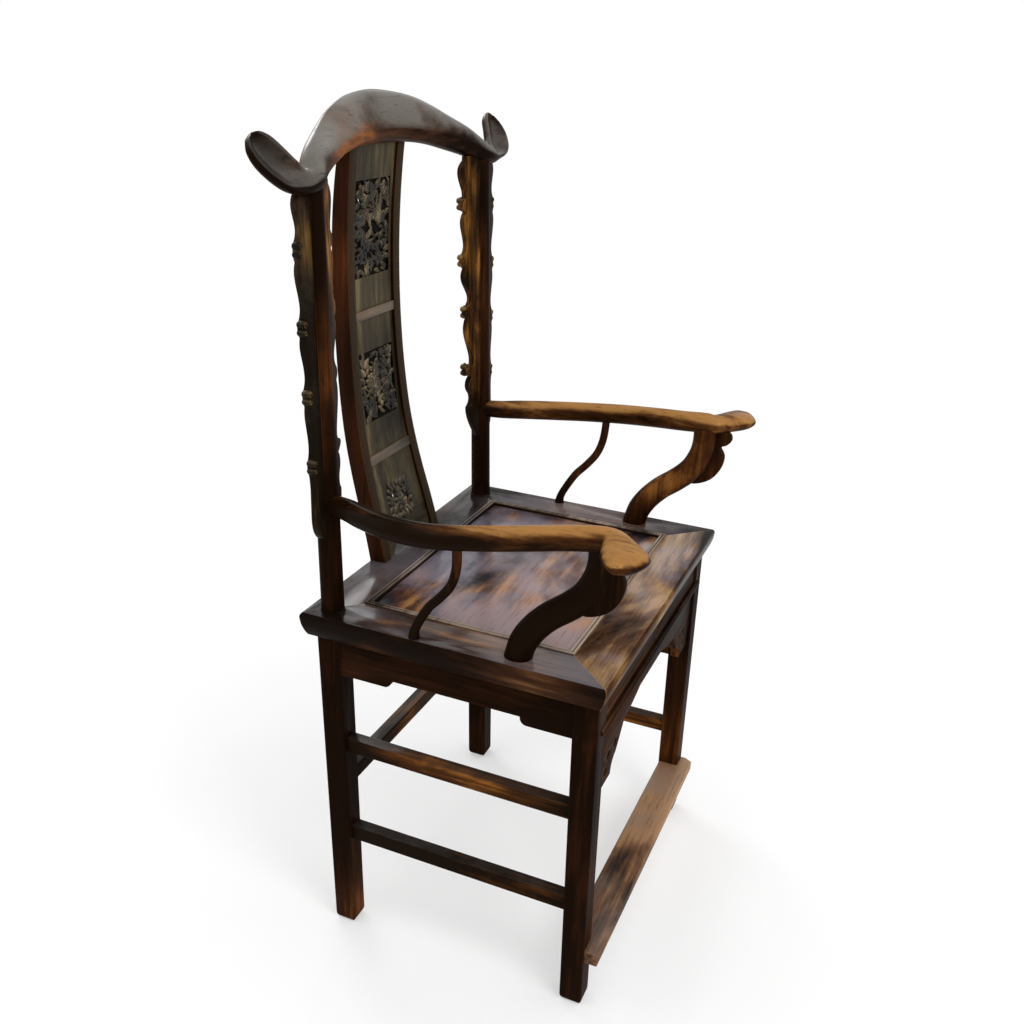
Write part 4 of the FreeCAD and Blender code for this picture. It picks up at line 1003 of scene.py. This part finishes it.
@dataclass
class ArmRest:
    """An arm with its turned-out end, the posts under it and the lobed board in their angle.

    The arm's path gives shares of its run, bow and rise. A row of the paddle gives the place
    of its inner and outer edge, as shares out and in front, and its height. The posts' paths
    give shares of their way forward and up. The ear's outline gives Y and Z.
    """

    palette: Palette
    side: Side
    height: float = 0.684
    rise: float = 0.033
    root_x: float = 0.253
    root_y: float = 0.1954
    bow: float = 0.0485
    radius: float = 0.0163
    root_radius: float = 0.0140
    root_growth: tuple[float, ...] = (0.0, 0.45, 0.85)
    front_y: float = -0.190
    front_out: float = 0.010
    path: Stations = (
        (0.00, 0.00, 0.00), (0.09, 0.17, 0.01), (0.17, 0.46, 0.03), (0.30, 0.82, 0.08),
        (0.456, 1.00, 0.22), (0.62, 0.87, 0.46), (0.78, 0.585, 0.70), (0.90, 0.33, 0.87))
    paddle_out: float = 0.078
    paddle_front: float = 0.072
    paddle_half_height: float = 0.014
    paddle: Stations = (
        (-0.22, 0.33, 0.23, 0.08, 1.03), (0.06, 0.69, 0.37, 0.10, 0.96),
        (0.40, 1.00, 0.62, 0.17, 0.88), (0.76, 0.93, 0.85, 0.31, 0.70),
        (0.96, 0.70, 1.00, 0.48, 0.40), (1.01, 0.62, 1.02, 0.56, 0.15))
    neck_spread: float = 0.258
    neck_foot_y: float = -0.091
    neck_forward: float = 0.102
    neck_half_depth: float = 0.0192
    neck_half_width: float = 0.0180
    neck_top_half_width: float = 0.0150
    neck_path: tuple[Share, ...] = (
        (0.00, 0.00), (0.06, 0.12), (0.19, 0.24), (0.39, 0.36), (0.63, 0.465),
        (0.83, 0.575), (0.95, 0.70), (1.00, 0.82), (1.00, 0.96))
    mid_spread: float = 0.2775
    mid_foot_y: float = 0.050
    mid_forward: float = 0.0665
    mid_radius: float = 0.0064
    mid_foot_radius: float = 0.0080
    mid_path: tuple[Share, ...] = (
        (0.00, 0.00), (0.05, 0.10), (0.34, 0.31), (0.60, 0.43), (0.84, 0.56), (0.96, 0.69),
        (1.00, 0.82), (1.00, 0.96))
    search_steps: int = 12
    ear_spread: float = 0.264
    ear_thickness: float = 0.012
    ear_ease: float = 0.0024
    ear_steps: int = 3
    ear_outline: tuple[Share, ...] = (
        (-0.164, 0.618), (-0.176, 0.613), (-0.190, 0.615), (-0.206, 0.623), (-0.218, 0.636),
        (-0.225, 0.652), (-0.226, 0.668), (-0.219, 0.681), (-0.228, 0.686), (-0.235, 0.695),
        (-0.231, 0.706), (-0.214, 0.709), (-0.194, 0.708), (-0.186, 0.685), (-0.178, 0.655))

    def at(self, x: float, y: float, z: float) -> Vector:
        """Point on this arm's side of the chair."""
        return place(self.side.value * x, y, z)

    def arm_points(self) -> list[Vector]:
        """Middle line of the arm.

        Returns:
            Points from the back post to the turned-out end.
        """
        found = []
        for run, bow, rise in self.path:
            found.append(self.at(self.root_x + self.bow * bow,
                                 self.root_y + (self.front_y - self.root_y) * run,
                                 self.height + self.rise * rise))
        found.append(self.at(self.root_x + self.front_out, self.front_y,
                             self.height + self.rise))
        return found

    def build_arm(self) -> None:
        """Make the arm rail."""
        points = self.arm_points()
        growth = self.root_growth + (1.0,) * len(points)
        rings = []
        for point, along, share in zip(points, directions(points), growth):
            radius = self.root_radius + (self.radius - self.root_radius) * share
            across = UP.cross(along).normalized() * self.side.value
            up = along.cross(across).normalized()
            if up.z < 0:
                up = -up
            rings.append(section(point, up, across, radius, radius))
        for in_out, in_front, out_out, out_front, high in self.paddle:
            inner, outer = (points[-1] + Vector((self.side.value * self.paddle_out * out,
                                                 -self.paddle_front * ahead, 0))
                            for out, ahead in ((in_out, in_front), (out_out, out_front)))
            across = outer - inner
            rings.append(section((inner + outer) / 2, UP, across.normalized(),
                                 self.paddle_half_height * high, across.length / 2))
        piece = Workpiece("arm_rail" + self.side.suffix)
        piece.loft(between(rings, RAIL_STEPS))
        piece.done(["arm" + self.side.suffix], "arm_lacquer",
                   self.palette.get("arm_lacquer", Grain.FORWARD), CARVER_ANGLE)

    def upright(self, title: str, node: str, points: list[Vector], widths: Sequence[float],
                depth: float) -> None:
        """Make a curved post.

        Args:
            title: Name of the piece, without its side.
            node: CAD node that it replaces, without its side.
            points: Middle line.
            widths: Half width at each point.
            depth: Least half depth.
        """
        lines = [UP, *directions(points)[1:-1], UP]
        rings = []
        for point, along, width in zip(points, lines, widths):
            back = along.cross(AXIS_X).normalized()
            rings.append(section(point, AXIS_X, back, width, max(depth, width)))
        piece = Workpiece(title + self.side.suffix)
        piece.loft(between(rings, POST_STEPS))
        piece.done([node + self.side.suffix], "arm_lacquer",
                   self.palette.get("post_lacquer", Grain.UPRIGHT), CARVER_ANGLE)

    def build_posts(self) -> None:
        """Make the gooseneck and the slender post behind it."""
        top = self.height + self.rise
        neck = [self.at(self.neck_spread, self.neck_foot_y - self.neck_forward * forward,
                        SEAT_TOP + (top - SEAT_TOP) * rise) for forward, rise in self.neck_path]
        last = len(neck) - 1
        widths = [self.neck_half_width + (self.neck_top_half_width - self.neck_half_width)
                  * index / last for index in range(len(neck))]
        self.upright("gooseneck_post", "gooseneck_post", neck, widths, self.neck_half_depth)
        head_y = self.mid_foot_y - self.mid_forward + MIDDLE_Y
        head = min(curve_through(self.arm_points(), self.search_steps),
                   key=lambda point: abs(point.y - head_y))
        mid = [self.at(self.mid_spread + (abs(head.x) - self.mid_spread) * rise,
                       self.mid_foot_y - self.mid_forward * forward,
                       SEAT_TOP + (head.z - SEAT_TOP) * rise) for forward, rise in self.mid_path]
        widths = [self.mid_foot_radius] + [self.mid_radius] * (len(mid) - 1)
        self.upright("slender_post", "mid_post", mid, widths, self.mid_radius)

    def build_ear(self) -> None:
        """Make the lobed board in the angle between the gooseneck and the arm."""
        corners = [self.at(self.ear_spread - self.ear_thickness / 2, y, z)
                   for y, z in self.ear_outline]
        piece = Workpiece("ear_board" + self.side.suffix)
        piece.board(curve_through(corners, self.ear_steps, closed=True),
                    Vector((self.side.value * self.ear_thickness, 0, 0)))
        piece.soften(self.ear_ease, self.ear_steps)
        piece.done(["ear_board" + self.side.suffix], "frame_lacquer",
                   self.palette.get("frame_lacquer", Grain.UPRIGHT), BOARD_ANGLE)

    def build(self) -> None:
        """Make the arm, its posts and the ear board."""
        self.build_arm()
        self.build_posts()
        self.build_ear()


@dataclass
class Timbers:
    """The straight timbers and boards: copies of the CAD nodes with eased arrises."""

    palette: Palette
    slots: dict[str, str]
    ease: float = 0.0008
    foot_round: float = 0.0095
    upright: tuple[str, ...] = (
        "rear_leg", "front_leg", "outer_post_strip", "inner_post_strip", "splat_stile",
        "front_bracket")
    forward: tuple[str, ...] = (
        "upper_stretcher", "lower_stretcher", "side_apron", "seat_frame_left",
        "seat_frame_right", "seat_batten")

    def grain_of(self, node: str) -> Grain:
        """Which way a node's grain runs.

        Args:
            node: Name of the node.

        Returns:
            The grain.
        """
        if node.startswith(self.upright):
            return Grain.UPRIGHT
        if node.startswith(self.forward):
            return Grain.FORWARD
        return Grain.ACROSS

    def build(self, others: set[str]) -> None:
        """Make every timber that no other piece stands for.

        Args:
            others: Nodes that other pieces stand for.
        """
        for name in frame["nodes"]:
            if name in others:
                continue
            piece = CadCopy(name)
            if "_leg_" in name:
                piece.round_foot(self.foot_round)
            piece.soften(self.ease)
            finish = SPECIAL.get(name, self.slots[name])
            piece.done([name], self.slots[name], self.palette.get(finish, self.grain_of(name)))


@dataclass
class SeatBeads:
    """Double bead round the inner edge of the seat frame, with mitred corners."""

    palette: Palette
    inner_x: float = 0.2140
    inner_y: float = 0.1460
    pitch: float = 0.005
    half_width: float = 0.0021
    rise: float = 0.0027
    segments: int = 12

    def mitre(self, sign_x: int, sign_y: int, row: int) -> list[Vector]:
        """Ring round a bead at one of its corners.

        Args:
            sign_x: Sign of the corner's X.
            sign_y: Sign of the corner's Y.
            row: Which bead, from the inside.

        Returns:
            Points round the ring.
        """
        reach = self.pitch * (row + 0.5)
        corner = place(sign_x * (self.inner_x + reach), sign_y * (self.inner_y + reach), SEAT_TOP)
        out = Vector((sign_x, sign_y, 0))
        turns = [math.tau * step / self.segments for step in range(self.segments)]
        return [corner + out * (math.cos(turn) * self.half_width)
                + UP * (math.sin(turn) * self.rise) for turn in turns]

    def build(self) -> None:
        """Make both beads."""
        piece = Workpiece("seat_beads")
        for row in range(2):
            rings = [self.mitre(sign_x, sign_y, row)
                     for sign_x, sign_y in ((1, 1), (-1, 1), (-1, -1), (1, -1))]
            for first, second in zip(rings, rings[1:] + rings[:1]):
                piece.loft([first, second])
        # The beads' finish is lighter than the frame: partly wear, partly a painted highlight
        # along them
        piece.done([], "seat_lacquer", self.palette.get("bead_lacquer", Grain.ACROSS),
                   BOARD_ANGLE)


@dataclass
class CarvedField:
    """Field of carved foliage on a splat board, with its ground darkened as painted shade.

    A blossom is given by its shares of the field's half width and half height. Where two
    values stand together, each leaf or stem takes one between them.
    """

    palette: Palette
    node: str
    middle: float
    half_height: float
    half_width: float
    seed: int
    blossoms: tuple[Share, ...]
    medallion: bool = False
    margin: float = 0.0005
    ground_depth: float = 0.0008
    floor: float = 0.0025
    petals: int = 6
    petal: Point = (0.0120, 0.0075, 0.0042)
    petal_reach: float = 0.55
    petal_turn: float = 60
    bud_growth: float = 1.25
    stems: int = 3
    stem_length: Share = (0.026, 0.040)
    stem_width: float = 0.0026
    stem_lift: float = 1.05
    stem_reach: float = 0.6
    stem_room: float = 0.45
    stem_bend: float = 0.18
    lift: float = 0.0042
    spacing: float = 0.0076
    jitter: float = 0.35
    clearing: float = 0.0095
    bare_share: float = 0.28
    leaf_length: Share = (0.011, 0.0215)
    leaf_width: Share = (0.30, 0.52)
    leaf_lift: Share = (0.55, 1.1)
    leaf_room: float = 0.16
    leaf_bend: float = 0.16
    border_leaves: int = 22
    border_leaf: Point = (0.0150, 0.0085, 0.0022)
    border_growth: Share = (0.7, 1.35)
    border_turn: float = 0.5
    border_bend: float = 0.12

    def __post_init__(self) -> None:
        """Start the field's own random draws and its surface."""
        self.rng = random.Random(self.seed)
        self.ground = Surface(depth=self.floor)
        self.spots = [(self.half_width * across, self.middle + self.half_height * up)
                      for across, up in self.blossoms]

    def build_board(self) -> None:
        """Make the board, with the field's floor and the pierced leaves painted darker than its
        face, as painted shade.
        """
        surface = Surface()
        piece = CadCopy(self.node)
        for face in piece.mesh.faces:
            centre = face.calc_center_median()
            front = surface.at(centre.x, centre.z, 0).y
            inside = self.holds(centre.x, centre.z, -self.margin)
            if inside and centre.y > front + self.ground_depth and face.normal.y < 0.5:
                face.material_index = 1
        # The field's floor and the walls of its pierced leaves take painted shade, except on the
        # medallion
        ground = "splat_board_lacquer" if self.medallion else "carving_ground"
        piece.done([self.node], "splat_board_lacquer",
                   self.palette.get("splat_board_lacquer", Grain.UPRIGHT),
                   second=self.palette.get(ground, Grain.UPRIGHT))

    def blossom(self, piece: Workpiece, u: float, v: float) -> None:
        """Blossom of petals round a bud.

        Args:
            piece: The foliage.
            u: Its place across the board.
            v: Its height.
        """
        length, width, height = self.petal
        for petal in range(self.petals):
            slope = math.tau * petal / self.petals + u * self.petal_turn
            piece.leaf(self.ground, u + math.cos(slope) * length * self.petal_reach,
                       v + math.sin(slope) * length * self.petal_reach, slope, self.petal)
        piece.leaf(self.ground, u, v, 0.0, (width, width, height * self.bud_growth))

    def stem(self, piece: Workpiece, u: float, v: float) -> None:
        """Thin stem that starts at a blossom, where the field holds it.

        Args:
            piece: The foliage.
            u: The blossom's place across the board.
            v: The blossom's height.
        """
        slope = self.rng.uniform(0, math.tau)
        length = self.rng.uniform(*self.stem_length)
        middle_u = u + math.cos(slope) * length * self.stem_reach
        middle_v = v + math.sin(slope) * length * self.stem_reach
        if self.holds(middle_u, middle_v, length * self.stem_room):
            piece.leaf(self.ground, middle_u, middle_v, slope,
                       (length, self.stem_width, self.lift * self.stem_lift),
                       self.rng.uniform(-self.stem_bend, self.stem_bend))

    def loose_leaf(self, piece: Workpiece, across: float, up: float) -> None:
        """Leaf near a place of the field, unless that is left bare or holds a blossom.

        Args:
            piece: The foliage.
            across: Share of the field's width, from its side.
            up: Share of the field's height, from its foot.
        """
        rng = self.rng
        u = (2 * across - 1) * self.half_width
        v = self.middle + (2 * up - 1) * self.half_height
        near = min(math.hypot(u - other_u, v - other_v) for other_u, other_v in self.spots)
        length = rng.uniform(*self.leaf_length)
        if near < self.clearing or rng.random() < self.bare_share:
            return
        if self.holds(u, v, length * self.leaf_room):
            piece.leaf(self.ground, u, v, rng.uniform(0, math.tau),
                       (length, length * rng.uniform(*self.leaf_width),
                        self.lift * rng.uniform(*self.leaf_lift)),
                       rng.uniform(-self.leaf_bend, self.leaf_bend))

    def build_foliage(self) -> None:
        """Make the blossoms, the stems and the leaves between them."""
        piece = Workpiece(self.node + "_foliage")
        for u, v in self.spots:
            self.blossom(piece, u, v)
        for u, v in self.spots:
            for _ in range(self.stems):
                self.stem(piece, u, v)
        rows = int(2 * self.half_height / self.spacing)
        columns = int(2 * self.half_width / self.spacing)
        for row in range(rows):
            for column in range(columns):
                across = (column + 0.5 + self.rng.uniform(-self.jitter, self.jitter)) / columns
                up = (row + 0.5 + self.rng.uniform(-self.jitter, self.jitter)) / rows
                self.loose_leaf(piece, across, up)
        if self.medallion:
            self.ring_of_leaves(piece)
        # The leaves' finish paints their faces that look up lighter: painted top light
        piece.done([], "splat_board_lacquer", self.palette.get("carving_leaf", Grain.UPRIGHT),
                   LEAF_ANGLE)

    def ring_of_leaves(self, piece: Workpiece) -> None:
        """Ring of leaves over the border of the field, which makes it a medallion.

        Args:
            piece: The foliage.
        """
        face = Surface()
        least = 1e-6
        length, width, height = self.border_leaf
        for index in range(self.border_leaves):
            slope = math.tau * index / self.border_leaves
            cos, sin = math.cos(slope), math.sin(slope)
            reach = min(self.half_width / max(abs(cos), least),
                        self.half_height / max(abs(sin), least))
            growth = self.rng.uniform(*self.border_growth)
            turn = self.rng.uniform(-self.border_turn, self.border_turn)
            piece.leaf(face, cos * reach, self.middle + sin * reach, slope + turn,
                       (length * growth, width, height),
                       self.rng.uniform(-self.border_bend, self.border_bend))

    def holds(self, u: float, v: float, reach: float) -> bool:
        """Whether the field holds a leaf of some reach about a point."""
        return (abs(u) + reach < self.half_width
                and abs(v - self.middle) + reach < self.half_height)

    def build(self) -> None:
        """Make the board and its foliage."""
        self.build_board()
        self.build_foliage()


@dataclass
class StripKnots:
    """Rolled leaf knots at the small lobes of the post strips.

    A knot is given by its shares of the strip's length and reach. It has an upper and a
    lower roll, and on the inner strips a small scroll on each face beside both.
    """

    palette: Palette
    side: Side
    foot: float = 0.640
    length: float = 0.456
    post_x: float = 0.253
    post_radius: float = 0.0157
    post_foot_y: float = 0.166
    post_top_y: float = 0.2133
    post_top: float = 1.100
    outer_reach: float = 0.024
    inner_reach: float = 0.038
    swing: float = 17.0
    outer: tuple[Share, ...] = ((0.230, 1.00), (0.435, 1.10), (0.630, 1.20), (0.840, 1.22))
    inner: tuple[Share, ...] = ((0.258, 0.86), (0.470, 0.84), (0.655, 1.00), (0.850, 1.02))
    ring: float = 0.0030
    ring_inset: float = 2.1
    tube: float = 0.0024
    half_thickness: float = 0.0064
    roll_offset: float = 0.0052
    roll_angle: float = 290
    lower_share: float = 0.8
    face_offset: float = 0.62
    face_inset: float = 0.0036
    face_ring: float = 1.5
    face_tube: float = 0.8
    face_half_thickness: float = 0.0034
    face_angle: float = 240

    def build_row(self, title: str, rows: Sequence[Share], reach: float, outward: Vector,
                  faces: Sequence[int] = ()) -> None:
        """Make the knots of one strip.

        Args:
            title: Name of the piece.
            rows: Height and reach of each lobe, as shares.
            reach: Reach of the strip from the post.
            outward: Direction in which the strip stands off the post.
            faces: Faces of the strip that have scrolls, as signs.
        """
        piece = Workpiece(title + self.side.suffix)
        axis = UP.cross(outward).normalized()
        for up_share, out_share in rows:
            height = self.foot + self.length * up_share
            y = self.post_foot_y + (self.post_top_y - self.post_foot_y) * height / self.post_top
            base = place(self.side.value * self.post_x, y, height)
            tip = base + outward * (self.post_radius + reach * out_share
                                    - self.ring * self.ring_inset)
            for sign, ring in ((1, self.ring), (-1, self.ring * self.lower_share)):
                spot = tip + UP * (sign * self.roll_offset)
                piece.curl(spot, axis, UP * -sign, ring, self.tube, self.half_thickness,
                           math.radians(-sign * self.roll_angle))
                for face in faces:
                    piece.curl(spot + axis * (face * self.half_thickness * self.face_offset)
                               - outward * self.face_inset, axis, outward,
                               ring * self.face_ring, self.tube * self.face_tube,
                               self.face_half_thickness, math.radians(sign * self.face_angle))
        # The knots' finish paints their faces that look up lighter: painted top light
        piece.done([], "strip_lacquer", self.palette.get("knot_lacquer", Grain.UPRIGHT),
                   CARVER_ANGLE)

    def build(self) -> None:
        """Make the knots on both strips of this side."""
        sign = self.side.value
        swing = math.radians(self.swing)
        self.build_row("outer_knots", self.outer, self.outer_reach, Vector((sign, 0, 0)))
        self.build_row("inner_knots", self.inner, self.inner_reach,
                       Vector((-sign * math.cos(swing), math.sin(swing), 0)), (-1, 1))


@dataclass(frozen=True)
class Lamp:
    """Soft square lamp aimed at a point."""

    title: str
    spot: Point
    target: Point
    watts: float
    size: float = 1.2

    def build(self) -> None:
        """Make the lamp."""
        data = bpy.data.lights.new(self.title, "AREA")
        data.size = self.size
        data.energy = self.watts
        lamp = bpy.data.objects.new(self.title, data)
        aim = Vector(self.target) - Vector(self.spot)
        lamp.matrix_world = (Matrix.Translation(Vector(self.spot))
                             @ aim.to_track_quat("-Z", "Y").to_matrix().to_4x4())
        bpy.context.scene.collection.objects.link(lamp)


@dataclass
class Studio:
    """Floor, light and camera."""

    floor_size: float = 60.0
    floor_fade: Share = (0.55, 1.7)
    floor_glow: float = 0.35
    ambient: float = 0.95
    lamps: tuple[Lamp, ...] = (
        Lamp("key_lamp", (-1.2, -2.0, 2.9), (0.0, 0.0, 0.6), 26.0),
        Lamp("back_lamp", (1.6, 2.2, 2.4), (0.0, 0.0, 0.7), 16.0))
    azimuth: float = -66.1
    elevation: float = 21.62
    roll: float = 2.04
    eye: Point = (-1.468, -0.5444, 1.2546)
    lens: float = 39.888
    sensor: float = 36.0
    shift: Share = (0.0458, -0.01157)

    def build_floor(self) -> None:
        """White floor that keeps the chair's shadow."""
        mesh = bmesh.new()
        bmesh.ops.create_grid(mesh, x_segments=1, y_segments=1, size=self.floor_size / 2)
        data = bpy.data.meshes.new("studio_floor")
        mesh.to_mesh(data)
        mesh.free()
        floor = bpy.data.objects.new("studio_floor", data)
        bpy.context.scene.collection.objects.link(floor)
        white = bpy.data.materials.new("studio_white")
        graph = Graph(white)
        diffuse = graph.node("ShaderNodeBsdfDiffuse", {}, {"Color": tone("fcfcfc")})
        glow = graph.node("ShaderNodeEmission", {}, {"Color": tone("ffffff"), "Strength": 1.0})
        far = graph.measure("LENGTH", graph.place()).step(self.floor_fade)
        seen = Sock(graph, graph.node("ShaderNodeLightPath").outputs["Is Camera Ray"])
        graph.finish(graph.node("ShaderNodeMixShader", {}, {
            0: seen * far.most(self.floor_glow), 1: diffuse.outputs[0], 2: glow.outputs[0]}))
        data.materials.append(white)

    def build_light(self) -> None:
        """Even white surroundings and soft lamps."""
        world = bpy.data.worlds.new("studio")
        bpy.context.scene.world = world
        graph = Graph(world)
        rays = graph.node("ShaderNodeLightPath").outputs
        seen = Sock(graph, rays["Is Camera Ray"]).most(rays["Is Glossy Ray"])
        strength = graph.node("ShaderNodeMapRange", {}, {
            "Value": seen, "To Min": self.ambient, "To Max": 1.0})
        background = graph.node("ShaderNodeBackground", {}, {
            "Color": tone("ffffff"), "Strength": strength.outputs["Result"]})
        graph.finish(background, "ShaderNodeOutputWorld")
        for lamp in self.lamps:
            lamp.build()

    def build_camera(self) -> None:
        """Camera at the photograph's viewing angle."""
        turn, tilt, roll = (math.radians(angle)
                            for angle in (self.azimuth, self.elevation, self.roll))
        back = Vector((math.sin(turn) * math.cos(tilt), -math.cos(turn) * math.cos(tilt),
                       math.sin(tilt)))
        right = UP.cross(back).normalized()
        up = back.cross(right)
        turned_right = right * math.cos(roll) + up * math.sin(roll)
        turned_up = up * math.cos(roll) - right * math.sin(roll)
        pose = Matrix((turned_right, turned_up, back)).transposed().to_4x4()
        data = bpy.data.cameras.new("camera")
        data.lens = self.lens
        data.sensor_width = self.sensor
        data.shift_x, data.shift_y = self.shift
        camera = bpy.data.objects.new("camera", data)
        camera.matrix_world = Matrix.Translation(place(*self.eye)) @ pose
        bpy.context.scene.collection.objects.link(camera)
        bpy.context.scene.camera = camera

    def build(self) -> None:
        """Make the studio."""
        self.build_floor()
        self.build_light()
        self.build_camera()


def slots_by_node() -> dict[str, str]:
    """Slot of each CAD node, from the record."""
    return {row["node"]: row["material_slot"] for row in frame["record"]["subparts"]}


def main() -> None:
    """Build and dress the chair."""
    logging.basicConfig(level=logging.INFO, format="%(message)s")
    bpy.context.scene.view_settings.view_transform = "Standard"
    palette = Palette()
    CrestRail(palette).build()
    for side in Side:
        ArmRest(palette, side).build()
        StripKnots(palette, side).build()
    fields = (
        CarvedField(palette, "splat_upper_panel", middle=1.012, half_height=0.0685,
                    half_width=0.051, seed=7,
                    blossoms=((-0.45, 0.55), (0.42, 0.18), (-0.35, -0.30), (0.40, -0.68))),
        CarvedField(palette, "splat_middle_panel", middle=0.78125, half_height=0.05225,
                    half_width=0.051, seed=11,
                    blossoms=((0.42, 0.48), (-0.42, 0.10), (0.35, -0.45))),
        CarvedField(palette, "splat_lower_panel", middle=0.599, half_height=0.025,
                    half_width=0.029, seed=3, blossoms=((0.0, 0.0),), medallion=True),
    )
    for carved in fields:
        carved.build()
    SeatBeads(palette).build()
    done = {"crest_rail"} | {carved.node for carved in fields}
    for stem in ("arm", "gooseneck_post", "mid_post", "ear_board"):
        done |= {stem + side.suffix for side in Side}
    Timbers(palette, slots_by_node()).build(done)
    Studio().build()


if __name__ == "__main__":
    main()
